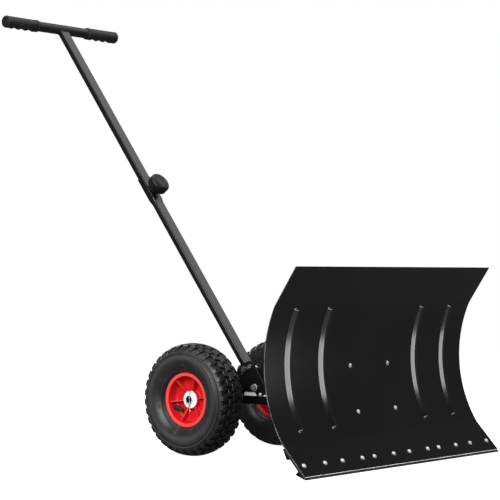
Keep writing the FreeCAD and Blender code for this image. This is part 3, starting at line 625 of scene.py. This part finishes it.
def make_wheels():
    tyre_shape = join(turn_about(carcass_outline(), WHEEL_STEPS, Matrix.Identity(4)), *tread(), *nubs())
    rim_mesh, valve_mesh = rim_shape(), valve_shape()
    for side, x_sign in SIDES:
        body = "wheel_" + side
        centre = Vector(JOINTS[body + "_spin"]["pos_m"])
        tyre = new_piece("tyre_" + side + "_moulded", *shifted(tyre_shape, x_sign, centre),
                         [TYRE, TREAD_SHADED], body, "tyre_rubber", ["tyre_" + side], 40)
        for polygon in tyre.data.polygons:
            # Painted shade: the tread's faces take the darker copy of the tyre's rubber.
            at = polygon.center - centre
            shaded_tread = math.hypot(at.y, at.z) > 0.110 and abs(polygon.normal.x) < 0.62
            polygon.material_index = 1 if shaded_tread else 0
        moulded = new_piece("rim_" + side + "_moulded", *shifted(rim_mesh, x_sign, centre),
                            [RIM_SHADED, RIM_LIT_FACE, RIM_LIT_RIB], body, "rim_plastic", ["rim_" + side], 50)
        for polygon in moulded.data.polygons:
            at = polygon.center - centre
            from_axle, out = math.hypot(at.y, at.z), x_sign * polygon.normal.x
            # Painted light: the flanges take the bright red copy and the ribs' outer edges the lighter one,
            # while the rest keeps the darker, shaded red.
            lit_flange = from_axle > 0.0535 and abs(at.x) > 0.0245
            lit_rib_edge = 0.0245 < from_axle < 0.0535 and out > 0.6 and x_sign * at.x > 0.008
            polygon.material_index = 1 if lit_flange else 2 if lit_rib_edge else 0
        new_piece("valve_" + side + "_stem", *shifted(valve_mesh, x_sign, centre), [TUBE_RUBBER], body,
                  "tube_rubber", ["valve_" + side], 50)
        bevelled("bushes_" + side, 0.0004, [BRIGHT_ZINC], body)


# ---------------- axle

PIN_WIRE = 0.72  # radius of the split pins' wire
PIN_EYE, PIN_EYE_UP, PIN_GAP = 3.2, 17.2, 0.56
AXLE_BORE = 0.0097


def split_pin(x_sign):
    """Split pin: an eye on top, two legs through the axle, and the tails bent apart."""
    low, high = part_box("split_pins")
    x = high.x - 1.3 * MM if x_sign > 0 else low.x + 1.3 * MM
    shapes = []
    for leg in (-1, 1):
        gap = leg * PIN_GAP
        eye = [(gap, 13.2)] + [(leg * PIN_EYE * sin(t), PIN_EYE_UP - PIN_EYE * cos(t)) for t in
                               [0.35 + k * (pi - 0.35) / 7 for k in range(8)]]
        if leg > 0:
            tail = [(gap, 4.0), (gap, -6.0), (gap, -13.0), (0.4, -17.0), (1.0, -22.0), (2.4, -28.2)]
        else:
            tail = [(gap, 4.0), (gap, -6.0), (gap, -12.0), (-1.3, -14.5), (-3.8, -18.0)]
        line = [Vector((x, AXLE.y - across * MM, AXLE.z + up * MM)) for across, up in eye[::-1] + tail]
        shapes.append(tube_along(resample(line, 1.2 * MM), PIN_WIRE * MM, 10))
    return join(*shapes)


def make_axle():
    new_piece("split_pin_pair", *join(split_pin(-1), split_pin(1)), [ZINC], "frame", "zinc_steel",
              ["split_pins"], 60)
    bevelled("axle_washers", 0.0003, [BRIGHT_ZINC], "frame")
    tube = bevelled("axle_tube", 0.0004, [BRIGHT_ZINC, BORE_SHADE], "frame")
    tube.modifiers["rounding"].material = 0
    high_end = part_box("axle_tube")[1].x - 0.5 * MM
    # Painted shade: the bore's wall and the cut end round it take the near-black.
    for polygon in tube.data.polygons:
        at = polygon.center - AXLE
        cut_end, bore_wall = abs(at.x) > high_end, abs(polygon.normal.x) < 0.5
        if math.hypot(at.y, at.z) < AXLE_BORE and (cut_end or bore_wall):
            polygon.material_index = 1
    bevelled("axle_sleeve", 0.0005, [COATING, COATING_EDGE], "frame")


# ---------------- frame

SEAT_REACH, SEAT_TURNS = 52.0, (-12.0, 19.0)  # the lock bolt's seats, from the pivot
RING_INNER, RING_OUTER, RING_THICK = 4.65, 5.15, 0.12


def make_frame():
    bevelled("frame_beam", 0.0009, [COATING, COATING_EDGE], "frame", segments=3)
    for node, width, made, slot in (("beam_end_plug", 0.0008, PLASTIC, "black_plastic"),
                                    ("king_pin_bush", 0.0003, ZINC, "zinc_steel"),
                                    ("pivot_spacers", 0.0004, PLASTIC, "black_plastic"),
                                    ("handle_pivot_washers", 0.0003, BOLT_ZINC, "zinc_steel"),
                                    ("swivel_lock_washer", 0.0003, ZINC, "zinc_steel")):
        bevelled(node, width, [made], "frame")
    tilt_seat_rings()
    sleeve_low, sleeve_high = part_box("axle_sleeve")
    seam_r = (sleeve_high.z - sleeve_low.z) / 2 + 0.4 * MM
    for side, outer in (("left", 0), ("right", 1)):
        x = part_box("side_plate_" + side)[outer].x
        path = [Vector((x, AXLE.y + seam_r * cos(a), AXLE.z + seam_r * sin(a)))
                for a in (2 * pi * k / 96 for k in range(96))]
        weld_bead("sleeve_weld_" + side, path, 1.4 * MM, "frame")


def tilt_seat_rings():
    """Thin light zinc rings round the two tilt seats that the lock bolt is not in."""
    outline = [Vector(p) for p in ((0.0, RING_INNER), (0.0, RING_OUTER), (RING_THICK, RING_OUTER - 0.1),
                                   (RING_THICK, RING_INNER + 0.1))]
    lean = math.atan2(HANDLE_UP.z, HANDLE_UP.y)
    marks = []
    for turn in SEAT_TURNS:
        a = lean + radians(turn)
        spot = PIVOT + Vector((0, cos(a), sin(a))) * (SEAT_REACH * MM)
        for plate in ("side_plate_left", "side_plate_right"):
            centre = Vector((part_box(plate)[0].x, spot.y, spot.z))
            marks.append(turn_about(outline, 40, placement(centre, -X_AXIS)))
    new_piece("worn_hole_rings", *join(*marks), [DULL_ZINC], "frame", "zinc_steel", sharp=60)


# ---------------- fasteners

# Metric sizes in millimetres: shank radius, thread pitch, width across flats, head and nut heights.
M6 = {"radius": 3.0, "pitch": 1.0, "across": 10, "nut": 5}
M8 = {"radius": 4.0, "pitch": 1.25, "across": 13, "head": 5.3, "nut": 6.5}
M12 = {"radius": 6.0, "pitch": 1.75, "across": 18, "head": 7.5, "nut": 10}
LOCK_HEAD = 5.15  # leaves the seat rings free under the tilt lock bolt's head
PLAIN_SHARE = 0.35  # share of a shank that has no thread
SHANK_STEPS = 28


def groups(node):
    """The separate solids of a CAD node as lists of points."""
    shape = bmesh.new()
    shape.from_mesh(frame["nodes"][node].data)
    bmesh.ops.remove_doubles(shape, verts=shape.verts, dist=WELD_CAD_POINTS)
    found, seen = [], set()
    for vert in shape.verts:
        if vert in seen:
            continue
        stack, members = [vert], []
        seen.add(vert)
        while stack:
            here = stack.pop()
            members.append(here.co.copy())
            for edge in here.link_edges:
                other = edge.other_vert(here)
                if other not in seen:
                    seen.add(other)
                    stack.append(other)
        found.append(members)
    shape.free()
    return found


def extent(points, along):
    """(point on the axis at the low end, length) of a group of points along a direction."""
    centre = sum(points, Vector()) / len(points)
    reach = [(p - centre).dot(along) for p in points]
    flat = [p - centre - along * r for p, r in zip(points, reach)]
    side = along.orthogonal().normalized()
    other = along.cross(side)
    a = [p.dot(side) for p in flat]
    b = [p.dot(other) for p in flat]
    centre += side * (min(a) + max(a)) / 2 + other * (min(b) + max(b)) / 2
    return centre + along * min(reach), max(reach) - min(reach)


def hex_shape(place, across, height, bore):
    """A hexagonal head or nut with rounded chamfers; a tiny bore closes it."""
    corner, flat, steps = across / sqrt(3), across / 2, 72
    rings = [(0.0, flat - 0.35), (0.25, corner - 0.2), (height - 1.0, corner), (height - 0.25, flat + 0.4),
             (height, flat - 0.5), (height, bore), (0.0, bore)]
    verts, faces = [], []
    for layer, (along, limit) in enumerate(rings):
        for i in range(steps):
            a = 2 * pi * i / steps
            verts.append(ring_point(place, along, min(flat / cos(a % (pi / 3) - pi / 6), limit), a))
        faces += ring_faces(layer * steps, (layer + 1) % len(rings) * steps, steps)
    return verts, faces


def thread(place, radius, start, length, pitch):
    """A shank with rolled thread ridges and a chamfered tip."""
    root = radius - 0.55 * pitch
    outline = [(start, 0.0), (start, radius - 0.05)]
    ridges = max(2, int((length - 1.0) / pitch))
    for k in range(ridges):
        along = start + k * pitch
        outline += [(along + 0.12 * pitch, radius), (along + 0.45 * pitch, root),
                    (along + 0.62 * pitch, root), (along + 0.95 * pitch, radius)]
    outline += [(start + length - 0.6, root), (start + length, root - 0.4), (start + length, 0.0)]
    return turn_about([Vector(p) for p in outline], SHANK_STEPS, place)


def dome_shape(place, radius, height):
    """A low domed bolt head with a small flat rim, its top towards -X of the placement."""
    rim = 0.7
    outline = [Vector(p) for p in ((0.0, 0.0), (0.0, radius - 0.35), (-0.35, radius), (-rim, radius))]
    ball = (radius ** 2 + (height - rim) ** 2) / (2 * (height - rim))
    spread = math.asin(radius / ball)
    for k in range(1, 9):
        a = spread * (1 - k / 8)
        outline.append(Vector((-(rim + ball * cos(a) - ball * cos(spread)), ball * sin(a))))
    return turn_about(outline, 40, place)


def bolts(node, body, along, size, dome=None, height=None, made=ZINC):
    """Bolts for a CAD node, each head at the low end of the direction; dome is a round head's radius."""
    height = height or size["head"]
    shapes = []
    for points in groups(node):
        base, length = extent(points, along)
        under_head = base + along * height * MM
        place = placement(under_head, along, X_AXIS)
        radius, plain_end = size["radius"] - 0.02, length / MM * PLAIN_SHARE
        shank = [Vector(p) for p in ((-0.2, 0.0), (-0.2, radius), (plain_end, radius), (plain_end, 0.0))]
        shapes.append(turn_about(shank, SHANK_STEPS, place))
        rest = length / MM - height
        shapes.append(thread(place, radius, rest * PLAIN_SHARE, rest * (1 - PLAIN_SHARE), size["pitch"]))
        if dome:
            shapes.append(dome_shape(place, dome, height))
        else:
            shapes.append(hex_shape(placement(under_head, -along, X_AXIS), size["across"], height, 0.01))
    new_piece(node + "_threaded", *join(*shapes), [made], body, "zinc_steel", [node], 40)


def nuts(node, body, along, size):
    shapes = []
    for points in groups(node):
        place = placement(extent(points, along)[0], along, X_AXIS)
        shapes.append(hex_shape(place, size["across"], size["nut"], size["radius"] + 0.05))
    new_piece(node + "_chamfered", *join(*shapes), [ZINC], body, "zinc_steel", [node], 40)


def make_fasteners():
    down = -Z_AXIS
    bolts("base_bar_bolts", "frame", Z_AXIS, M8, dome=8, height=2.6)
    nuts("base_bar_nuts", "frame", Z_AXIS, M8)
    bolts("handle_pivot_bolt", "frame", X_AXIS, M8, made=DULL_ZINC)
    nuts("handle_pivot_nut", "frame", X_AXIS, M8)
    bolts("tilt_lock_bolt", "handle_lower", X_AXIS, M8, height=LOCK_HEAD, made=BLACK_ZINC)
    nuts("tilt_lock_nut", "handle_lower", X_AXIS, M8)
    bolts("swivel_lock_bolt", "frame", Z_AXIS, M8, dome=10, height=4.4)
    nuts("swivel_lock_nut", "frame", Z_AXIS, M8)
    bolts("clamp_bolt", "handle_lower", HANDLE_FRONT, M8, dome=9, height=4.0)
    bolts("scraper_bolts", "blade", SLOPE_BACK, M6, dome=5.4, height=3.4, made=BOLT_ZINC)
    nuts("scraper_nuts", "blade", SLOPE_BACK, M6)
    bolts("sector_bolts", "blade", down, M8)
    nuts("sector_nuts", "blade", down, M8)
    bolts("king_pin", "blade", down, M12)
    nuts("king_pin_nut", "blade", down, M12)


# ---------------- handle

def handle_point(x, forward, up):
    """A point in the handle's own frame, in millimetres from the pivot."""
    return PIVOT + X_AXIS * x * MM + HANDLE_FRONT * forward * MM + HANDLE_UP * up * MM


GRIP_R, GRIP_BORE, COLLAR_R = 15.0, 13.05, 14.8
LIP_END, GROOVE_END, RING_END = 3.0, 7.5, 12.0  # where the parts of a grip's collar end
WAVE_START, WAVE_PITCH, END_ROUND = 14.0, 24.5, 3.2
KNOB_R, KNOB_BORE, KNOB_BORE_DEEP = 26.4, 6.1, 16.0
TUBE_HALF_X, TUBE_HALF_FRONT, TUBE_CORNER = 15.0, 7.25, 2.8
BAR_R = 13.3  # the cross bar, with the seam's foot on it


def grip_radius(u, angle, length):
    """Outer radius of a grip at a distance from its open end: collar, finger waves, rounded end."""
    if u < LIP_END:
        return 15.7 * min(1, 0.93 + 0.07 * u / 0.9)
    if u < GROOVE_END:
        return COLLAR_R - 1.1 * sin(pi * (u - LIP_END) / (GROOVE_END - LIP_END))
    if u < RING_END:
        return COLLAR_R + 0.8 * sin(pi * (u - GROOVE_END) / (RING_END - GROOVE_END)) ** 0.7
    waves = 0.0
    if u < length - 12:
        under = max(0.0, -sin(angle)) ** 1.5
        waves = under * (1.5 - 3.2 * abs(sin(pi * (u - WAVE_START) / WAVE_PITCH)) ** 0.8)
    body = GRIP_R + 0.25 * (u - RING_END) / length
    to_end = length - u
    if to_end < 10.0:
        body += 0.35 * min(1.0, (10.0 - to_end) / 3.0)
    if to_end < END_ROUND:
        body -= END_ROUND - sqrt(max(0.0, END_ROUND ** 2 - (END_ROUND - to_end) ** 2))
    return body + waves


def grip_shape(x_sign):
    """Rubber grip: a ridged inner collar, four finger waves underneath and a rounded closed end."""
    low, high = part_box("grip_left")
    length = (high.x - low.x) / MM
    steps, rings = 64, 150
    place = Matrix.Translation(middle("cross_bar"))
    open_x = abs(high.x) / MM
    verts, faces = [], []
    for i in range(rings + 3):
        u = length * i / rings if i <= rings else (0.0, length - 5.0)[i - rings - 1]
        for k in range(steps):
            a = 2 * pi * k / steps
            radius = grip_radius(u, a, length) if i <= rings else GRIP_BORE
            verts.append(ring_point(place, x_sign * (open_x + u), radius, a))
    for i in range(rings):
        faces += ring_faces(i * steps, (i + 1) * steps, steps)
    base = (rings + 1) * steps
    faces.append(tuple(rings * steps + k for k in range(steps)))
    faces += ring_faces(0, base, steps) + ring_faces(base, base + steps, steps)
    faces.append(tuple(base + steps + k for k in range(steps)))
    return verts, faces


def knob_shape():
    """Moulded clamp knob: a waisted foot under a broad head with a rounded rim and a shallow dish."""
    start = middle("knob_insert") - HANDLE_FRONT * 7.5 * MM
    foot = [(0.0, KNOB_BORE, 0.4), (0.0, 13.6, 1.0), (6.5, 13.4, 2.0), (11.0, 17.5, 2.5), (12.7, 26.0, 1.8)]
    head = [(30.0, KNOB_R, 3.5), (34.5, 21.5, 5.0), (34.9, 9.0, 3.0), (34.1, 3.0, 2.0), (34.1, 0.0, 0)]
    outline = rounded(foot + head + [(KNOB_BORE_DEEP, 0.0, 0), (KNOB_BORE_DEEP, KNOB_BORE, 0)], 6)
    return turn_about(outline, 96, placement(start, HANDLE_FRONT, X_AXIS))


def joint_weld():
    """Path of the seam where the flat tube meets the round cross bar."""
    ring = []
    for sx, sy, first in ((1, 1, 0), (-1, 1, 90), (-1, -1, 180), (1, -1, 270)):
        for k in range(4):
            a = radians(first + 30 * k)
            ring.append((sx * (TUBE_HALF_X - TUBE_CORNER) + TUBE_CORNER * cos(a),
                         sy * (TUBE_HALF_FRONT - TUBE_CORNER) + TUBE_CORNER * sin(a)))
    path = []
    for (x0, y0), (x1, y1) in zip(ring, ring[1:] + ring[:1]):
        steps = max(1, round(math.hypot(x1 - x0, y1 - y0)))
        for k in range(steps):
            x, y = x0 + (x1 - x0) * k / steps, (y0 + (y1 - y0) * k / steps) * 1.03
            path.append(handle_point(x * 1.01, y, HANDLE_LENGTH / MM - sqrt(BAR_R ** 2 - y ** 2)))
    return path


def make_handle():
    for side, x_sign in SIDES:
        grip = new_piece("grip_" + side + "_moulded", *grip_shape(x_sign), [GRIP, GRIP_END], "handle_upper",
                         "grip_rubber", ["grip_" + side], 50)
        for polygon in grip.data.polygons:
            polygon.material_index = 1 if x_sign * polygon.normal.x > 0.8 else 0
    new_piece("clamp_knob_moulded", *knob_shape(), [PLASTIC], "clamp_knob", "black_plastic",
              ["clamp_knob"], 45)
    weld_bead("cross_bar_weld", joint_weld(), 1.3 * MM, "handle_upper")


# ---------------- blade

ARC_R = 0.285
ARC = Vector((0, DATUM_Y - 0.6573, 0.228))
FOOT = Vector((0, DATUM_Y - 0.4792, 0.006))
LIP = Vector((0, DATUM_Y - 0.4564, 0.4337))
CREASE_LOW, CREASE_TOP = 0.068, 0.352
SHEET = 0.002
BEAD_XS = (-0.291, -0.175, 0.175, 0.291)
BEAD_R, BEAD_H, BEAD_FILLET = 0.0115, 0.005, 0.0022
BEAD_LOW, BEAD_TOP = 0.096, 0.339
BEAD_BLUNT = 0.0050  # how far the ridges keep their full height past their end centres
BEAD_REACH = 0.0125  # half of the width that gets fine columns at each ridge
PLAIN_STEP = 0.02  # widest column elsewhere


def arc_at(z):
    return Vector((0, ARC.y + sqrt(ARC_R ** 2 - (z - ARC.z) ** 2), z))


SLOPE_UP = (arc_at(CREASE_LOW) - FOOT).normalized()
SLOPE_BACK = Vector((0, SLOPE_UP.z, -SLOPE_UP.y))


def blade_line():
    """Front line of the blade from its foot to its lip: points and the normals facing forwards."""
    low, top = arc_at(CREASE_LOW), arc_at(CREASE_TOP)
    points = [FOOT.lerp(low, k / 10) for k in range(10)]
    start, end = math.asin((CREASE_LOW - ARC.z) / ARC_R), math.asin((CREASE_TOP - ARC.z) / ARC_R)
    angles = {start + (end - start) * k / 96 for k in range(97)}
    for z, way in ((BEAD_LOW, -1), (BEAD_TOP, 1)):
        centre = math.asin((z - ARC.z) / ARC_R)
        angles |= {centre + way * (0.005 + 0.0008 * k) / ARC_R for k in range(11)}
    for a in sorted(angles):
        points.append(Vector((0, ARC.y + ARC_R * cos(a), ARC.z + ARC_R * sin(a))))
    points += [top.lerp(LIP, k / 8) for k in range(1, 9)]
    normals = []
    for i in range(len(points)):
        tangent = (points[min(i + 1, len(points) - 1)] - points[max(i - 1, 0)]).normalized()
        normals.append(Vector((0, -tangent.z, tangent.y)))
    return points, normals


def bead_height(x, point):
    """How far the pressed ridges stand forward of the sheet at a place on it."""
    half = sqrt(BEAD_R ** 2 - (BEAD_R - BEAD_H) ** 2)
    z = min(max(point.z, BEAD_LOW), BEAD_TOP)
    nearest = arc_at(z)
    along = max(0.0, (point - nearest).length - BEAD_BLUNT) * half / (half - BEAD_BLUNT)
    d = math.hypot(min(abs(x - bead) for bead in BEAD_XS), along)
    if d > half + BEAD_FILLET:
        return 0.0
    if d > half - BEAD_FILLET:
        t = (half + BEAD_FILLET - d) / (2 * BEAD_FILLET)
        edge = sqrt(BEAD_R ** 2 - (half - BEAD_FILLET) ** 2) - (BEAD_R - BEAD_H)
        return edge * t * t * (1.6 - 0.6 * t)
    return sqrt(max(BEAD_R ** 2 - d ** 2, 0)) - (BEAD_R - BEAD_H)


def blade_columns():
    """Places across the blade, close together at the ridges."""
    half = (cad_box[1].x - cad_box[0].x) / 2
    columns = {-half, half}
    for bead in BEAD_XS:
        columns |= {round(bead + BEAD_REACH * k / 12, 6) for k in range(-12, 13)}
    plain = sorted(columns)
    for a, b in zip(plain, plain[1:]):
        extra = int((b - a) / PLAIN_STEP)
        columns |= {a + (b - a) * k / (extra + 1) for k in range(1, extra + 1)}
    return sorted(columns)


def blade_sheet():
    """The pressed sheet: a front and a back face with an edge between them."""
    points, normals = blade_line()
    columns = blade_columns()
    rows, count = len(points), len(columns)
    verts, faces = [], []
    for depth in (0.0, SHEET):
        for point, normal in zip(points, normals):
            for x in columns:
                verts.append(Vector((x, point.y, point.z)) + normal * (bead_height(x, point) - depth))
    back = rows * count
    for i in range(rows - 1):
        for j in range(count - 1):
            here, above = i * count + j, (i + 1) * count + j
            faces.append((here, here + 1, above + 1, above))
            faces.append((back + above, back + above + 1, back + here + 1, back + here))
    border = grid_border(rows, count)
    faces += [(a, b, back + b, back + a) for a, b in zip(border, border[1:] + border[:1])]
    return verts, faces


def make_blade():
    piece = new_piece("blade_sheet_pressed", *blade_sheet(), [BLADE_PAINT, BLADE_EDGE_HIGHLIGHT, FOOT_EDGE_HIGHLIGHT], "blade",
                      "blade_steel", ["blade_sheet"], 30)
    for polygon in piece.data.polygons:
        # Partly painted highlight: the foot's end face takes the light grey and the side edges take the
        # grey metal.
        highlighted_foot_end = polygon.normal.dot(SLOPE_UP) < -0.9 and polygon.center.z < 0.01
        polygon.material_index = 2 if highlighted_foot_end else 1 if abs(polygon.normal.x) > 0.9 else 0
    round_edges(piece, 0.0004, 2, 60)
    bevelled("scraper_rubber", 0.0006, [SCRAPER], "blade")
    rail = bevelled("scraper_rail", 0.0004, [COATING, COATING_EDGE, RAIL_END], "blade")
    for polygon in rail.data.polygons:
        polygon.material_index = 2 if abs(polygon.normal.x) > 0.9 else 0
    for node in ("blade_bracket", "sector_plate"):
        bevelled(node, 0.0005, [COATING, COATING_EDGE], "blade")
    return piece


def paint_nodes():
    """Finishes of the CAD nodes that show as they are."""
    finishes = ((TUBE_PAINT, ("lower_tube", "upper_tube")), (BAR_PAINT, ("cross_bar",)),
                (TUBE_RUBBER, ("inner_tube_left", "inner_tube_right")),
                (BOLT_ZINC, ("knob_insert", "side_plate_screws", "bracket_bolts", "bracket_nuts")),
                (COATING, ("side_plate_left", "side_plate_right")), (ZINC_BAR, ("base_bar",)))
    for made, nodes in finishes:
        for node in nodes:
            materials = frame["nodes"][node].data.materials
            materials.clear()
            materials.append(made)


# ---------------- stage

FLOOR_HALF, BACKDROP_R = 6.0, 25.0
WORLD_STRENGTH, FLOOR_GLOW = 0.12, 0.94
LENS = 123.58
CAMERA_AT = Vector((-3.1245, DATUM_Y - 2.6247, 0.4171))
CAMERA_FORWARD = Vector((0.7687, 0.6394, 0.0145)).normalized()


def light_group(name, pieces):
    group = bpy.data.collections.new(name)
    for piece in pieces:
        group.objects.link(piece)
    return group


def soft_light(name, at, towards, width, height, power, receivers=None, blockers=None):
    """An area light; it may light only some pieces, and take its shadows only from some."""
    data = bpy.data.lights.new(name, "AREA")
    data.shape = "RECTANGLE"
    data.size, data.size_y = width, height
    data.energy = power
    lamp = bpy.data.objects.new(name, data)
    lamp.location = at
    lamp.rotation_mode = "QUATERNION"
    lamp.rotation_quaternion = (Vector(towards) - Vector(at)).to_track_quat("-Z", "Y")
    bpy.context.scene.collection.objects.link(lamp)
    lamp.visible_camera = False
    if receivers:
        lamp.light_linking.receiver_collection = light_group(name + "_receivers", receivers)
    if blockers:
        lamp.light_linking.blocker_collection = light_group(name + "_blockers", blockers)


def plain_material(name, colour, rough, glow):
    """A finish for the stage, which also glows a little by itself."""
    made = finish(name, colour, rough, patch=0.7, spread=0.02, grain=40, bump=0.02)
    shader = made.node_tree.nodes["Principled BSDF"]
    shader.inputs["Emission Color"].default_value = (1, 1, 1, 1)
    shader.inputs["Emission Strength"].default_value = glow
    return made


def make_stage(sheet):
    scene = bpy.context.scene
    scene.view_settings.view_transform = "Standard"
    world = bpy.data.worlds.new("studio")
    scene.world = world
    world.use_nodes = True
    background = world.node_tree.nodes["Background"]
    background.inputs["Color"].default_value = (1, 1, 1, 1)
    background.inputs["Strength"].default_value = WORLD_STRENGTH

    half = FLOOR_HALF
    floor_mesh = bpy.data.meshes.new("floor")
    floor_mesh.from_pydata([(-half, -half, 0), (half, -half, 0), (half, half, 0), (-half, half, 0)], [],
                           [(0, 1, 2, 3)])
    floor = bpy.data.objects.new("floor", floor_mesh)
    floor_mesh.materials.append(plain_material("floor_white", (0.45, 0.45, 0.45), 0.9, FLOOR_GLOW))
    scene.collection.objects.link(floor)
    floor.visible_glossy = False
    floor.visible_diffuse = False

    dome_mesh = bpy.data.meshes.new("backdrop")
    shape = bmesh.new()
    bmesh.ops.create_uvsphere(shape, u_segments=48, v_segments=24, radius=BACKDROP_R)
    shape.to_mesh(dome_mesh)
    shape.free()
    dome = bpy.data.objects.new("backdrop", dome_mesh)
    dome_mesh.materials.append(plain_material("backdrop_white", (0.0, 0.0, 0.0), 1.0, 1.0))
    scene.collection.objects.link(dome)
    for ray in ("visible_diffuse", "visible_glossy", "visible_transmission", "visible_shadow",
                "visible_volume_scatter"):
        setattr(dome, ray, False)

    def starting(*words):
        return [piece for piece in scene.objects if piece.name.startswith(words)]
    focus, blade_middle, foot_middle = (0, -0.1, 0.35), (-0.075, -0.48, 0.24), (-0.075, -0.48, -0.72)
    others = [piece for piece in scene.objects if piece.type == "MESH" and piece is not sheet]
    zinc = starting("base_bar", "handle_pivot", "tilt_lock")
    heads = starting("scraper_bolts", "bracket_bolts")
    soft_light("left_soft", (-3.0, -0.9, 1.7), focus, 2.4, 2.4, 150)
    soft_light("right_top_soft", (2.4, -0.35, 2.6), focus, 2.6, 2.2, 25, others)
    soft_light("overhead_soft", (-0.3, 0.4, 3.2), focus, 2.6, 2.6, 45)
    soft_light("back_soft", (1.6, 3.0, 1.8), focus, 2.0, 2.0, 40)
    soft_light("blade_soft", (-0.075, -1.97, 0.24), blade_middle, 2.25, 0.98, 74, [sheet], [sheet])
    soft_light("foot_soft", (-0.075, -1.97, -0.72), foot_middle, 2.25, 0.92, 5, [sheet], [sheet])
    soft_light("bracket_soft", (-1.0, -0.6, 1.5), (0, PIVOT.y, 0.15), 0.8, 0.8, 12, zinc, [floor])
    soft_light("head_soft", (1.6, -1.7, 2.3), (0, -0.5, 0.05), 0.9, 0.9, 34, heads, [sheet])
    soft_light("sidewall_soft", (-2.6, 1.9, 0.5), (-0.16, -0.06, 0.13), 1.0, 1.0, 12, starting("tyre_left"))


def make_camera():
    data = bpy.data.cameras.new("camera")
    data.lens = LENS
    data.sensor_width = 36.0
    data.clip_start, data.clip_end = 0.1, 100.0
    camera = bpy.data.objects.new("camera", data)
    camera.location = CAMERA_AT
    camera.rotation_mode = "QUATERNION"
    camera.rotation_quaternion = CAMERA_FORWARD.to_track_quat("-Z", "Y")
    bpy.context.scene.collection.objects.link(camera)
    bpy.context.scene.camera = camera


make_wheels()
make_axle()
make_frame()
make_fasteners()
make_handle()
pressed_sheet = make_blade()
paint_nodes()
make_stage(pressed_sheet)
make_camera()
